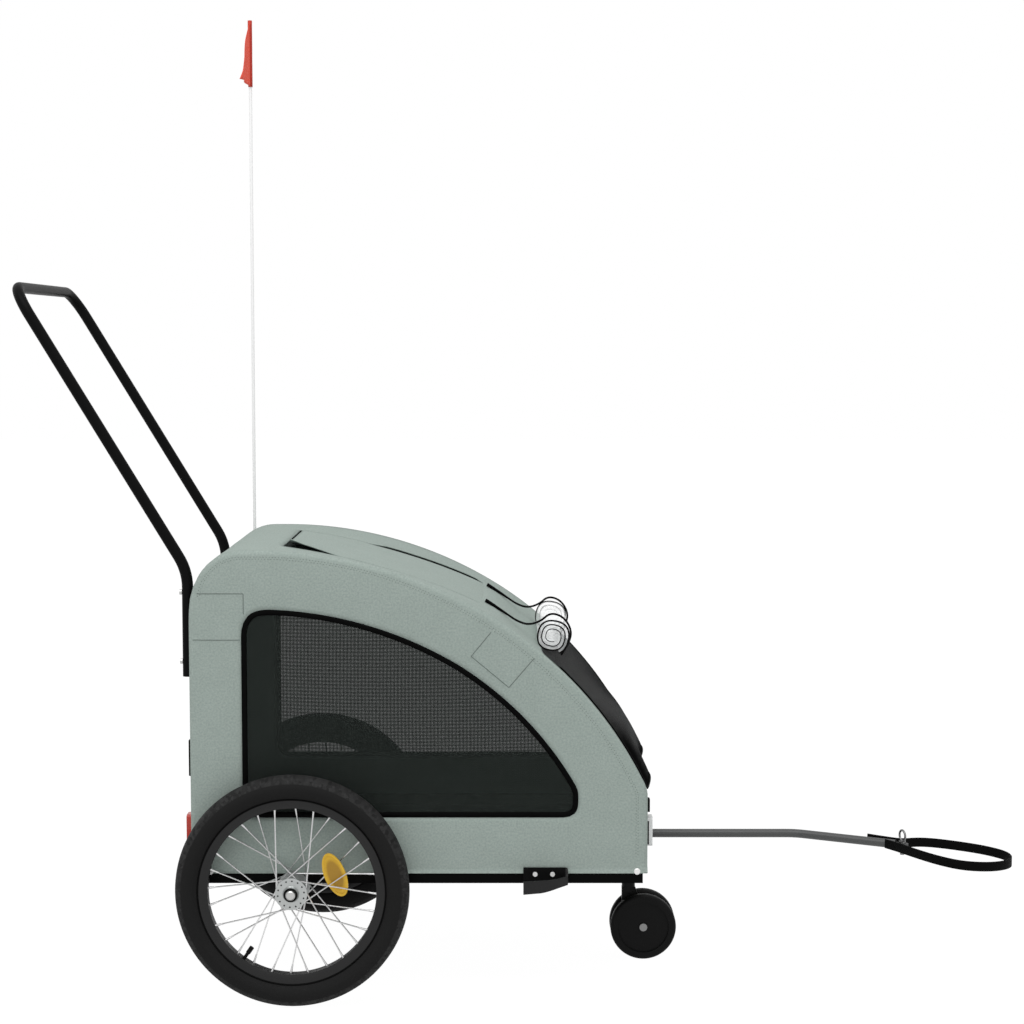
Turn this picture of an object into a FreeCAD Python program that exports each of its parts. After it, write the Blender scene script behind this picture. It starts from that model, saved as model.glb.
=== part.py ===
import FreeCAD, Part
import math
import os

V = FreeCAD.Vector

# A dog trailer for a bicycle: a cloth cabin on a bolted tube chassis, two spoked
# wheels, a swivelling front caster, a push handle, a side tow bar and a flag.
# Millimetres. Drawn with X forward from the wheel axle, Y to the left and Z up
# from the ground, then moved along X so that the origin is below the middle.

# Fits shared by the whole trailer
RUN_FIT = 0.05          # radial play of a turning or sliding fit
AIR = 0.3               # rest gap between pieces that must not rub
OVERRUN = 4.0           # how far every cut runs past its face
WIRE_SIDES = 6          # flats on thin wires and cords
TUBE_SIDES = 12         # flats on hidden tubes and bores

# Road wheels
WHEEL_D = 395.0
WHEEL_GAP = 6.0         # between the cabin's side and the tyre
TYRE_W = 47.0
TYRE_TREAD_W = 30.0
TYRE_POINTS = 5         # on each curve of the tyre's section
TYRE_CROWN = 4.0
RIM_EDGE_D = 315.0
RIM_WELL_D = 306.0
RIM_INNER_D = 284.0
RIM_W = 28.0
RIM_FLANGE_T = 2.0
RIM_INNER_W = 18.0
HUB_W = 60.0
HUB_BARREL_D = 28.0
HUB_END_D = 22.0
HUB_FLANGE_D = 54.0
HUB_FLANGE_T = 5.0
HUB_FLANGE_SPACING = 44.0
AXLE_D = 12.0
AXLE_GRIP = 70.0        # length held in the axle tube
AXLE_CAP_D = 16.0
AXLE_CAP_T = 7.0
SPOKE_D = 2.0
SPOKES = 28
SPOKE_LANE = 1.15       # crossing spokes pass this far either side of their row
SPOKE_RIM_ROW = 4.0     # rows meet the rim this far from its middle
SPOKE_LACING_DEG = 77.0
SPOKE_FOOT_R = 24.0
SPOKE_START_DEG = -1.9
VALVE_D = 6.0
VALVE_CAP_D = 8.0
VALVE_L = 23.0
VALVE_CAP_L = 12.0
VALVE_DEG = 234.7
GLOW_L = 77.0           # amber reflector held by the spokes
GLOW_W = 36.0
GLOW_T = 5.0
GLOW_RIM_W = 4.0
GLOW_RECESS = 1.5
GLOW_RADIUS = 78.0
GLOW_DEG = 21.6

# Chassis
BODY_W = 534.0
CLOTH_T = 2.5
RAIL_W = 20.0
RAIL_H = 42.0
RAIL_BOTTOM = 202.0
RAIL_WALL = 1.5
RAIL_REAR = -166.5
RAIL_FRONT = 592.0
CROSS_W = 20.0
MID_CROSS_H = 20.0
REAR_CROSS_X = -142.0
MID_CROSS_X = 330.0
FRONT_CROSS_X = 582.0
AXLE_TUBE_D = 20.0
FLOOR_T = 3.0
HOOP_D = 16.0
HOOP_WALL = 1.2
ROOF_BAR_REAR_X = -60.0
ROOF_BAR_FRONT_DEG = 58.0
BOLT_D = 6.0
BOLT_HEAD_D = 11.0
BOLT_HEAD_T = 3.0
BOLT_GRIP = 12.0        # length in the cross tube

# Cabin outline, seen from the side
CABIN_BOTTOM = 221.0
CABIN_REAR = -169.0
CABIN_TOP = 769.0
CABIN_FRONT = 600.0
REAR_CORNER_R = 85.0
CROWN_X = -60.0
ROOF_R = 758.0
ROOF_SWEEP_DEG = 31.0
NOSE_REACH = 64.0        # how far the nose's circle passes the front face
CHIN_R = 45.0

# Windows, hatch and door
WINDOW_REAR = -87.0
WINDOW_FRONT_H = 44.5
WINDOW_BOTTOM = 318.0
WINDOW_INSET = 104.0
WINDOW_TOP_R = 45.0
WINDOW_LOW_R = 28.0
WINDOW_FRONT_R = 30.0
PIPING_W = 9.0
PIPING_PROUD = 1.0
MESH_T = 0.8
REAR_WINDOW_W = 380.0
REAR_WINDOW_LOW = 290.0
REAR_WINDOW_HIGH = 520.0
HATCH_REAR = -26.0
HATCH_FRONT = 316.0
HATCH_W = 310.0
HATCH_GAP = 3.0
FLAP_T = 1.2
DOOR_TOP_X = 452.0
DOOR_HEM_Z = 362.0
DOOR_T = 2.0
DOOR_BULGE = 13.0
DOOR_END_BULGE = 3.0
DOOR_W = 524.0
FRONT_PANEL_TOP = 380.0

# Rain cover, rolled up above the door
FURL_ABOVE_DOOR = 37.3   # along the nose, from the door's top seam
FURL_R = 28.5
FURL_L = 270.0
FURL_FILM = 1.4
FURL_GAP = 5.0
FURL_TURNS = 3
TIE_D = 4.0
TIE_SPACING = 200.0
TIE_START_X = 358.0
TIE_TAB_X = 324.0
TIE_TAB_W = 7.6
TIE_TAB_T = 1.5
TIE_TAB_GAP = 1.5

# Reflectors on the cloth
PLATE_W = 30.0
PLATE_H = 50.0
PLATE_T = 9.0
REAR_PLATE_T = 15.0     # on a thick base, to stand clear of the swollen cloth
PLATE_R = 5.0
PLATE_SPACING = 470.0
FRONT_PLATE_Z = 287.0
REAR_PLATE_Z = 291.0

# Push handle
HANDLE_D = 19.0
HANDLE_WALL = 1.5
HANDLE_INSET = 25.0      # from the cabin's side to the middle of a leg
HANDLE_FOOT_Z = 553.6
HANDLE_KNEE_Z = 733.0
HANDLE_KNEE_R = 100.0
HANDLE_LEAN_DEG = 31.04
HANDLE_TOP_Z = 1210.0
HANDLE_CORNER_R = 55.0
HANDLE_BOLT_LOW_Z = 579.0
HANDLE_BOLT_HIGH_Z = 697.0
HANDLE_BOLT_D = 5.0
HANDLE_BOLT_HEAD_D = 9.0
HANDLE_BOLT_HEAD_T = 4.0

# Wheel guards on the side rails
GUARD_T = 3.0
GUARD_H = 22.0
GUARD_BOTTOM = 208.0
GUARD_REAR = 389.0
GUARD_NOSE = 474.0
GUARD_ELBOW_X = 436.0
GUARD_ELBOW_OUT = 36.0
GUARD_TIP_OUT = 45.0
GUARD_NOSE_R = 7.0
GUARD_ELBOW_R = 60.0
GUARD_SCREW_FIRST_X = 409.0
GUARD_SCREW_PITCH = 29.5
SCREW_D = 4.0
SCREW_HEAD_D = 8.0
SCREW_HEAD_T = 2.5

# Front caster
CASTER_X = 582.0
CASTER_TRAIL = 26.0
CASTER_D = 119.0
CASTER_DISC_W = 20.0
CASTER_HOOD_W = 18.0
CASTER_HOOD_D = 84.0
CASTER_RIM_D = 92.0
CASTER_RECESS = 3.0
CASTER_EDGE_R = 6.0
CASTER_EDGE_STEPS = 3
CASTER_BOLT_D = 8.0
CASTER_BOLT_HEAD_D = 14.0
CASTER_BOLT_HEAD_T = 3.0
CASTER_NECK_D = 24.0
CASTER_NECK_Z = 128.0
CASTER_STEM_D = 14.0
CASTER_SOCKET_D = 24.0
CASTER_STEM_TOP_GAP = 6.0

# Tow bar and hitch
TOW_D = 16.0
TOW_WALL = 1.5
TOW_Y = 152.0
RECEIVER_D = 22.0
RECEIVER_REAR = 300.0
RECEIVER_FRONT = 612.0
TOW_GRIP = 250.0        # length of bar inside the receiver
TOW_BEND_X = 905.0
TOW_BEND_R = 70.0
TOW_BEND_DEG = 27.0
TOW_END_RUN = 196.0     # bend point to the end of the tube
TONGUE_L = 24.0
TONGUE_W = 15.0
TONGUE_T = 6.0
PIN_D = 8.0
PIN_BACK = 11.0         # pin axis to the end of the tongue
PIN_BELOW = 18.0        # pin tip below the bar's axis
PIN_TIP_L = 12.0
PIN_GROOVE_L = 2.0
PIN_GROOVE_D = 6.5
PIN_COLLAR_D = 13.0
PIN_COLLAR_T = 4.0
PIN_RING_D = 24.0
PIN_RING_WIRE = 4.0
PIN_RING_TURN_DEG = 20.0
KNOB_X = 560.0
KNOB_D = 34.0
KNOB_T = 14.0
KNOB_LOBES = 5
KNOB_LOBE_D = 12.0
KNOB_SCREW_D = 8.0
KNOB_BOSS_D = 16.0
KNOB_BOSS_H = 9.0
KNOB_NECK = 8.0

# Safety strap: webbing standing on edge, its route in plan from the pin axis,
# forward and to the left, chosen by eye
STRAP_W = 15.0
STRAP_T = 2.5
STRAP_DROP_DEG = 3.0
STRAP_ROUTE = [(-58.0, 41.5), (-28.0, 26.0), (2.0, 13.5), (32.0, 30.0), (64.0, 31.0), (112.0, 14.0),
               (155.0, -10.0), (186.0, -48.0), (182.0, -100.0), (140.0, -138.0), (84.0, -142.0),
               (44.0, -108.0), (12.0, -62.0), (-14.0, -18.0), (-31.0, 4.6)]

# Flag
POLE_D = 6.0
POLE_X = -126.0
POLE_FOOT_Z = 424.0
POLE_TOP_Z = 1721.0
SLEEVE_D = 11.0
SLEEVE_BOTTOM_Z = 420.0
SLEEVE_TOP_Z = 530.0
FLAG_HEM_D = 9.0
FLAG_H = 124.0
FLAG_ABOVE_POLE = 2.0
FLAG_L = 165.0
FLAG_T = 1.2

# Places worked out from the sizes above
WHEEL_R = WHEEL_D / 2
SIDE_OUT = BODY_W / 2
WHEEL_Y = SIDE_OUT + WHEEL_GAP + TYRE_W / 2
SIDE_IN = SIDE_OUT - CLOTH_T
RAIL_IN = SIDE_IN - RAIL_W
RAIL_TOP = RAIL_BOTTOM + RAIL_H
RAIL_MID = RAIL_BOTTOM + RAIL_H / 2
FLOOR_Z = RAIL_BOTTOM + MID_CROSS_H
HOOP_Y = SIDE_IN - HOOP_D / 2
HOOP_INSET = CLOTH_T + HOOP_D / 2
ROOF_CENTRE = V(CROWN_X, 0, CABIN_TOP - ROOF_R)
ROOF_END = math.radians(90 - ROOF_SWEEP_DEG)
ROOF_END_X = ROOF_CENTRE.x + ROOF_R * math.cos(ROOF_END)
NOSE_R = (CABIN_FRONT + NOSE_REACH - ROOF_END_X) / (1 - math.cos(ROOF_END))
NOSE_CENTRE = ROOF_CENTRE + V(math.cos(ROOF_END), 0, math.sin(ROOF_END)) * (ROOF_R - NOSE_R)
WINDOW_FRONT_RISE = WINDOW_BOTTOM + WINDOW_FRONT_H - NOSE_CENTRE.z
WINDOW_FRONT = NOSE_CENTRE.x + math.sqrt((NOSE_R - WINDOW_INSET) ** 2 - WINDOW_FRONT_RISE ** 2)
HALF_HANDLE = SIDE_OUT - HANDLE_INSET
HANDLE_X = CABIN_REAR - HANDLE_D / 2
HANDLE_TOP_X = HANDLE_X - (HANDLE_TOP_Z - HANDLE_KNEE_Z) * math.tan(math.radians(HANDLE_LEAN_DEG))
TOW_Z = RAIL_BOTTOM - RECEIVER_D / 2
TOW_AHEAD = V(math.cos(math.radians(TOW_BEND_DEG)), -math.sin(math.radians(TOW_BEND_DEG)), 0)
TOW_BEND = V(TOW_BEND_X, TOW_Y, TOW_Z)
TOW_END = TOW_BEND + TOW_AHEAD * TOW_END_RUN
TONGUE_END = TOW_END + TOW_AHEAD * TONGUE_L
PIN_AT = TONGUE_END - TOW_AHEAD * PIN_BACK
FLAG_TOP_Z = POLE_TOP_Z + FLAG_ABOVE_POLE
POLE_Y = SIDE_OUT + SLEEVE_D / 2

ALONG_X = V(1, 0, 0)
ALONG_Y = V(0, 1, 0)
ALONG_Z = V(0, 0, 1)
ORIGIN = V(0, 0, 0)

parts = {}


def box(low, high):
    return Part.makeBox(high.x - low.x, high.y - low.y, high.z - low.z, low)


def rod(start, end, diameter):
    run = end - start
    return Part.makeCylinder(diameter / 2, run.Length, start, run)


def polygon(points):
    return Part.Face(Part.makePolygon(points + [points[0]]))


def mirrored(shape):
    """The same piece on the other side of the trailer."""
    return shape.mirror(ORIGIN, ALONG_Y)


def rounded_path(points, radii):
    """Straight runs joined by tangent arcs, one radius for each inner point."""
    edges = []
    start = points[0]
    for before, corner, after, radius in zip(points, points[1:], points[2:], radii):
        back = (before - corner).normalize()
        ahead = (after - corner).normalize()
        half = back.getAngle(ahead) / 2
        reach = radius / math.tan(half)
        first = corner + back * reach
        last = corner + ahead * reach
        middle = corner + (back + ahead).normalize() * (radius / math.sin(half) - radius)
        edges.append(Part.LineSegment(start, first).toShape())
        edges.append(Part.Arc(first, middle, last).toShape())
        start = last
    edges.append(Part.LineSegment(start, points[-1]).toShape())
    return Part.Wire(edges)


def corners_on(circle, sides):
    return [circle.value(2 * math.pi * i / sides) for i in range(sides)]


def wire_rod(start, end, diameter):
    """A thin wire, drawn with flats."""
    run = end - start
    return polygon(corners_on(Part.Circle(start, run, diameter / 2), WIRE_SIDES)).extrude(run)


def rod_along(path, diameter, sides=0):
    """A round bar along a path, or one with flats where their count is given."""
    first = path.Edges[0]
    start = first.valueAt(first.FirstParameter)
    circle = Part.Circle(start, first.tangentAt(first.FirstParameter), diameter / 2)
    corners = corners_on(circle, sides)
    ring = Part.makePolygon(corners + [corners[0]]) if sides else Part.Wire(circle.toShape())
    return path.makePipeShell([ring], True, False)


def tube_along(path, diameter, wall, sides=0):
    return rod_along(path, diameter, sides).cut(rod_along(path, diameter - 2 * wall, TUBE_SIDES))


def band_along(path, thickness, low, high):
    """A flat strip standing on edge along a level path."""
    first = path.Edges[0]
    start = first.valueAt(first.FirstParameter)
    aside = first.tangentAt(first.FirstParameter).cross(ALONG_Z) * (thickness / 2)
    corners = []
    for side, z in ((1, low), (1, high), (-1, high), (-1, low)):
        corners.append(V(start.x + aside.x * side, start.y + aside.y * side, z))
    return path.makePipeShell([Part.makePolygon(corners + [corners[0]])], True, False)


def box_tube(low, high, wall, along):
    """A rectangular tube, open at both ends along one axis."""
    inner = V(wall, wall, wall) - along * (wall + OVERRUN)
    return box(low, high).cut(box(low + inner, high - inner))


def on_circle(centre, radius, degrees):
    angle = math.radians(degrees)
    return centre + V(radius * math.cos(angle), 0, radius * math.sin(angle))


def arc_between(centre, radius, first_deg, last_deg):
    middle = on_circle(centre, radius, (first_deg + last_deg) / 2)
    ends = on_circle(centre, radius, first_deg), on_circle(centre, radius, last_deg)
    return Part.Arc(ends[0], middle, ends[1]).toShape()


def line(start, end):
    return Part.LineSegment(start, end).toShape()


def cabin_outline(inset, bottom):
    """Rear foot, rear corner, crown, roof, nose, chin and front foot, drawn in by inset."""
    rear = CABIN_REAR + inset
    front = CABIN_FRONT - inset
    top = CABIN_TOP - inset
    corner = V(CABIN_REAR + REAR_CORNER_R, 0, CABIN_TOP - REAR_CORNER_R)
    chin_x = CABIN_FRONT - CHIN_R - NOSE_CENTRE.x
    chin_reach = NOSE_R - CHIN_R
    chin = V(CABIN_FRONT - CHIN_R, 0, NOSE_CENTRE.z + math.sqrt(chin_reach ** 2 - chin_x ** 2))
    chin_deg = math.degrees(math.acos(chin_x / chin_reach))
    roof_deg = 90 - ROOF_SWEEP_DEG
    return [line(V(rear, 0, bottom), V(rear, 0, corner.z)),
            arc_between(corner, REAR_CORNER_R - inset, 180, 90),
            line(V(corner.x, 0, top), V(CROWN_X, 0, top)),
            arc_between(ROOF_CENTRE, ROOF_R - inset, 90, roof_deg),
            arc_between(NOSE_CENTRE, NOSE_R - inset, roof_deg, chin_deg),
            arc_between(chin, CHIN_R - inset, chin_deg, 0),
            line(V(front, 0, chin.z), V(front, 0, bottom))]


def cabin_prism(inset, bottom, half_width):
    """The cabin's whole volume, drawn in by inset."""
    edges = cabin_outline(inset, bottom)
    rear_foot = edges[0].Vertexes[0].Point
    front_foot = edges[-1].Vertexes[1].Point
    face = Part.Face(Part.Wire(edges + [line(front_foot, rear_foot)]))
    face.translate(V(0, -half_width, 0))
    return face.extrude(V(0, 2 * half_width, 0))


def fillet_across(solid, places):
    """Round the edges along Y nearest to the given places, each with its radius."""
    for place, radius in places:
        across = [edge for edge in solid.Edges if abs(edge.tangentAt(edge.FirstParameter).y) > 0.99]
        nearest = min(across, key=lambda edge: math.hypot(edge.CenterOfMass.x - place.x,
                                                          edge.CenterOfMass.z - place.z))
        solid = solid.makeFillet(radius, [nearest])
    return solid


def window_prism(inset, y_low, y_high):
    """The side window, drawn in by inset: it follows the roof at a fixed depth."""
    rear = WINDOW_REAR + inset
    front = WINDOW_FRONT - inset
    low = WINDOW_BOTTOM + inset
    roof_r = ROOF_R - WINDOW_INSET - inset
    nose_r = NOSE_R - WINDOW_INSET - inset
    rear_deg = math.degrees(math.acos((rear - ROOF_CENTRE.x) / roof_r))
    front_deg = math.degrees(math.acos((front - NOSE_CENTRE.x) / nose_r))
    roof_deg = 90 - ROOF_SWEEP_DEG
    rear_top = on_circle(ROOF_CENTRE, roof_r, rear_deg)
    front_top = on_circle(NOSE_CENTRE, nose_r, front_deg)
    rear_low = V(rear, 0, low)
    front_low = V(front, 0, low)
    face = Part.Face(Part.Wire([line(rear_low, rear_top),
                                arc_between(ROOF_CENTRE, roof_r, rear_deg, roof_deg),
                                arc_between(NOSE_CENTRE, nose_r, roof_deg, front_deg),
                                line(front_top, front_low), line(front_low, rear_low)]))
    face.translate(V(0, y_low, 0))
    solid = face.extrude(V(0, y_high - y_low, 0))
    return fillet_across(solid, [(rear_top, WINDOW_TOP_R - inset), (front_top, WINDOW_FRONT_R - inset),
                                 (rear_low, WINDOW_LOW_R - inset), (front_low, WINDOW_LOW_R - inset)])


def rear_window(inset, x_low, x_high):
    half = REAR_WINDOW_W / 2 - inset
    solid = box(V(x_low, -half, REAR_WINDOW_LOW + inset), V(x_high, half, REAR_WINDOW_HIGH - inset))
    corners = [edge for edge in solid.Edges if abs(edge.tangentAt(edge.FirstParameter).x) > 0.99]
    return solid.makeFillet(WINDOW_LOW_R - inset, corners)


def add(name, *solids):
    parts[name] = solids[0] if len(solids) == 1 else Part.makeCompound(solids)


# Chassis: two side rails and three cross tubes, bolted at the corners
axle_line = V(0, SIDE_IN, WHEEL_R)
axle_tube_body = rod(V(0, -SIDE_IN, WHEEL_R), axle_line, AXLE_TUBE_D)
add("axle_tube", axle_tube_body.cut(rod(V(0, -SIDE_IN - OVERRUN, WHEEL_R),
                                        V(0, SIDE_IN + OVERRUN, WHEEL_R), AXLE_D + 2 * RUN_FIT)))

bolt_places = [V(x, 0, RAIL_MID) for x in (REAR_CROSS_X, FRONT_CROSS_X)]
guard_z = GUARD_BOTTOM + GUARD_H / 2
screw_places = [V(GUARD_SCREW_FIRST_X + i * GUARD_SCREW_PITCH, 0, guard_z) for i in range(2)]


def side_holes(shape):
    """Holes through the left side for the corner bolts and the guard screws."""
    for places, diameter in ((bolt_places, BOLT_D), (screw_places, SCREW_D)):
        for place in places:
            inner = V(place.x, RAIL_IN - OVERRUN, place.z)
            outer = V(place.x, SIDE_OUT + OVERRUN, place.z)
            shape = shape.cut(rod(inner, outer, diameter + 2 * RUN_FIT))
    return shape


rail = box_tube(V(RAIL_REAR, RAIL_IN, RAIL_BOTTOM), V(RAIL_FRONT, SIDE_IN, RAIL_TOP), RAIL_WALL, ALONG_X)
rail = side_holes(rail).cut(axle_tube_body)
add("side_rail_left", rail)
add("side_rail_right", mirrored(rail))

for name, x, height in (("rear_cross_tube", REAR_CROSS_X, RAIL_H),
                        ("mid_cross_tube", MID_CROSS_X, MID_CROSS_H),
                        ("front_cross_tube", FRONT_CROSS_X, RAIL_H)):
    add(name, box_tube(V(x - CROSS_W / 2, -RAIL_IN, RAIL_BOTTOM),
                       V(x + CROSS_W / 2, RAIL_IN, RAIL_BOTTOM + height), RAIL_WALL, ALONG_Y))

add("floor_panel", box(V(REAR_CROSS_X + CROSS_W / 2, -RAIL_IN, FLOOR_Z),
                       V(FRONT_CROSS_X - CROSS_W / 2, RAIL_IN, FLOOR_Z + FLOOR_T)))

bolts = []
for place in bolt_places:
    head = rod(V(place.x, SIDE_OUT, place.z), V(place.x, SIDE_OUT + BOLT_HEAD_T, place.z), BOLT_HEAD_D)
    rim = max(head.Edges, key=lambda edge: edge.CenterOfMass.y)
    head = head.makeChamfer(BOLT_HEAD_T / 2, [rim])
    shank = rod(V(place.x, RAIL_IN - BOLT_GRIP, place.z), V(place.x, SIDE_OUT, place.z), BOLT_D)
    bolt = head.fuse(shank)
    bolts += [bolt, mirrored(bolt)]
add("hoop_bolts", *bolts)

# Hoops: one bent tube stands on each rail and draws the cabin's outline
hoop_path = Part.Wire(cabin_outline(HOOP_INSET, RAIL_TOP))
hoop_path.translate(V(0, HOOP_Y, 0))
hoop = tube_along(hoop_path, HOOP_D, HOOP_WALL, TUBE_SIDES)
hoop_body = rod_along(hoop_path, HOOP_D, TUBE_SIDES)
add("hoop_left", hoop)
add("hoop_right", mirrored(hoop))


def bar_between_hoops(x, z):
    bar = rod(V(x, -HOOP_Y, z), V(x, HOOP_Y, z), HOOP_D)
    bore = rod(V(x, -HOOP_Y, z), V(x, HOOP_Y, z), HOOP_D - 2 * HOOP_WALL)
    return bar.cut(bore).cut(hoop_body).cut(mirrored(hoop_body))


front_bar = on_circle(NOSE_CENTRE, NOSE_R - HOOP_INSET, ROOF_BAR_FRONT_DEG)
add("roof_bar_rear", bar_between_hoops(ROOF_BAR_REAR_X, CABIN_TOP - HOOP_INSET))
add("roof_bar_front", bar_between_hoops(front_bar.x, front_bar.z))
rear_bars = []
for z in (HANDLE_BOLT_LOW_Z, HANDLE_BOLT_HIGH_Z):
    rise = max(0, z - CABIN_TOP + REAR_CORNER_R)
    hoop_x = CABIN_REAR + REAR_CORNER_R - math.sqrt((REAR_CORNER_R - HOOP_INSET) ** 2 - rise ** 2)
    rear_bar = bar_between_hoops(hoop_x, z)
    for y in (-HALF_HANDLE, HALF_HANDLE):
        bolt_end = V(CABIN_REAR + HOOP_INSET, y, z)
        rear_bar = rear_bar.cut(rod(V(CABIN_REAR, y, z), bolt_end, HANDLE_BOLT_D + 2 * RUN_FIT))
    rear_bars.append(rear_bar)
add("rear_cross_bars", *rear_bars)

# Cabin cloth: flat sides, and one strip of panels that runs over the hoops
side_room = box(V(CABIN_REAR - OVERRUN, SIDE_IN, 0),
                V(CABIN_FRONT + OVERRUN, SIDE_OUT + OVERRUN, CABIN_TOP + OVERRUN))
side = cabin_prism(0, CABIN_BOTTOM, SIDE_OUT).common(side_room)
side = side_holes(side.cut(window_prism(0, SIDE_IN - OVERRUN, SIDE_OUT + OVERRUN)))
add("side_panel_left", side)
add("side_panel_right", mirrored(side))

piping = window_prism(0, SIDE_IN - PIPING_PROUD, SIDE_OUT + PIPING_PROUD).cut(
    window_prism(PIPING_W, SIDE_IN - OVERRUN, SIDE_OUT + OVERRUN))
net_mid = (SIDE_OUT + SIDE_IN) / 2
net = window_prism(PIPING_W, net_mid - MESH_T / 2, net_mid + MESH_T / 2)
add("window_mesh_left", net)
add("window_mesh_right", mirrored(net))

lower = CABIN_BOTTOM - OVERRUN
strip = cabin_prism(0, CABIN_BOTTOM, SIDE_IN).cut(cabin_prism(CLOTH_T, lower, SIDE_OUT))
rear_seam = CABIN_TOP - REAR_CORNER_R
above = CABIN_TOP + OVERRUN
strip_rear = box(V(CABIN_REAR - OVERRUN, -SIDE_OUT, lower), V(CROWN_X, SIDE_OUT, rear_seam))
strip_roof = box(V(CABIN_REAR - OVERRUN, -SIDE_OUT, rear_seam), V(CROWN_X, SIDE_OUT, above)).fuse(
    box(V(CROWN_X, -SIDE_OUT, lower), V(DOOR_TOP_X, SIDE_OUT, above)))
strip_front = box(V(DOOR_TOP_X, -SIDE_OUT, lower), V(CABIN_FRONT + OVERRUN, SIDE_OUT, FRONT_PANEL_TOP))


def hatch_box(gap):
    return box(V(HATCH_REAR + gap, gap - HATCH_W / 2, FLOOR_Z),
               V(HATCH_FRONT - gap, HATCH_W / 2 - gap, above))


rear_panel = strip.common(strip_rear)
rear_panel = rear_panel.cut(rear_window(0, CABIN_REAR - OVERRUN, CABIN_REAR + CLOTH_T + OVERRUN))
for z in (HANDLE_BOLT_LOW_Z, HANDLE_BOLT_HIGH_Z):
    for y in (-HALF_HANDLE, HALF_HANDLE):
        hole = rod(V(CABIN_REAR - OVERRUN, y, z), V(CABIN_REAR + HOOP_INSET, y, z),
                   HANDLE_BOLT_D + 2 * RUN_FIT)
        rear_panel = rear_panel.cut(hole)
        strip_roof = strip_roof.cut(hole)
add("rear_panel", rear_panel)
add("roof_panel", strip.common(strip_roof).cut(hatch_box(0)))
add("front_panel", strip.common(strip_front))

rear_piping = rear_window(0, CABIN_REAR - PIPING_PROUD, CABIN_REAR + CLOTH_T + PIPING_PROUD).cut(
    rear_window(PIPING_W, CABIN_REAR - OVERRUN, CABIN_REAR + CLOTH_T + OVERRUN))
add("window_pipings", piping, mirrored(piping), rear_piping)
net_x = CABIN_REAR + CLOTH_T / 2
add("rear_mesh", rear_window(PIPING_W, net_x - MESH_T / 2, net_x + MESH_T / 2))

# Roof hatch: a net sewn into the opening, and a cloth flap over it that lifts from the rear
net_layer = cabin_prism(CLOTH_T - MESH_T, lower, SIDE_OUT)
net_layer = net_layer.cut(cabin_prism(CLOTH_T, lower - OVERRUN, SIDE_OUT))
add("roof_mesh", net_layer.common(hatch_box(0)))
flap_layer = cabin_prism(0, lower, SIDE_OUT).cut(cabin_prism(FLAP_T, lower - OVERRUN, SIDE_OUT))
add("roof_flap", flap_layer.common(hatch_box(HATCH_GAP)))


# Front door: a net that bulges between the hoops and hangs from its top seam
door_base = NOSE_R + AIR
door_top_deg = math.degrees(math.acos((DOOR_TOP_X + AIR - NOSE_CENTRE.x) / door_base))
door_hem_deg = math.degrees(math.asin((DOOR_HEM_Z - NOSE_CENTRE.z) / door_base))


def door_section(y, bulge, end_bulge):
    """The door cut lengthwise: an inner and an outer arc."""
    middle_deg = (door_top_deg + door_hem_deg) / 2
    curves = []
    for layer in (0, DOOR_T):
        spots = [on_circle(NOSE_CENTRE, door_base + layer + rise, deg)
                 for deg, rise in ((door_top_deg, end_bulge), (middle_deg, bulge), (door_hem_deg, end_bulge))]
        curves.append(spots)
    inner, outer = curves
    wire = Part.Wire([Part.Arc(*inner).toShape(), line(inner[2], outer[2]),
                      Part.Arc(*reversed(outer)).toShape(), line(outer[0], inner[0])])
    wire.translate(V(0, y, 0))
    return wire


door_sections = [door_section(-DOOR_W / 2, 0, 0), door_section(0, DOOR_BULGE, DOOR_END_BULGE),
                 door_section(DOOR_W / 2, 0, 0)]
add("front_door", Part.makeLoft(door_sections, True, False))

# Rain cover: a clear film rolled up, resting on the roof, held by two elastic ties
roll_reach = NOSE_R + AIR + FURL_R
roll_deg = door_top_deg + math.degrees(FURL_ABOVE_DOOR / roll_reach)
roll_at = on_circle(NOSE_CENTRE, roll_reach, roll_deg)


def film_edge(radius):
    """Half turns that draw in by half a pitch each, from the roll's outer end."""
    edges = []
    centre = roll_at
    for half in range(2 * FURL_TURNS):
        turned = 180 * half
        edges.append(arc_between(centre, radius, turned, turned + 180))
        shift = FURL_GAP / 2 * (-1) ** half
        centre = centre + V(-shift / 2, 0, 0)
        radius = radius - FURL_GAP / 4
    return edges


outer_edge = film_edge(FURL_R)
inner_edge = film_edge(FURL_R - FURL_FILM)
ends = [(on_circle(roll_at, FURL_R, 0), on_circle(roll_at, FURL_R - FURL_FILM, 0)),
        [edges[-1].valueAt(edges[-1].LastParameter) for edges in (outer_edge, inner_edge)]]
film_rim = Part.__sortEdges__(outer_edge + inner_edge + [line(*pair) for pair in ends])
film_face = Part.Face(Part.Wire(film_rim))
film_face.translate(V(0, -FURL_L / 2, 0))
add("rain_cover_roll", film_face.extrude(V(0, FURL_L, 0)))

wrap_r = FURL_R + AIR + TIE_D / 2
tie_start_r = NOSE_R + AIR + TIE_D / 2
tie_start_deg = math.degrees(math.acos((TIE_START_X - NOSE_CENTRE.x) / tie_start_r))
tie_start = on_circle(NOSE_CENTRE, tie_start_r, tie_start_deg)
to_roll = roll_at - tie_start
tangent_deg = math.degrees(math.atan2(-to_roll.z, -to_roll.x) - math.acos(wrap_r / to_roll.Length))
landing = math.acos((tie_start_r ** 2 - roll_reach ** 2 - wrap_r ** 2) / (2 * roll_reach * wrap_r))
landing_deg = roll_deg - math.degrees(landing)
tie_path = Part.Wire([line(tie_start, on_circle(roll_at, wrap_r, tangent_deg)),
                      arc_between(roll_at, wrap_r, tangent_deg, landing_deg)])
tie = rod_along(tie_path, TIE_D, WIRE_SIDES)
tie_left = tie.copy()
tie_left.translate(V(0, TIE_SPACING / 2, 0))
tab_low = NOSE_R + AIR
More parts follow.
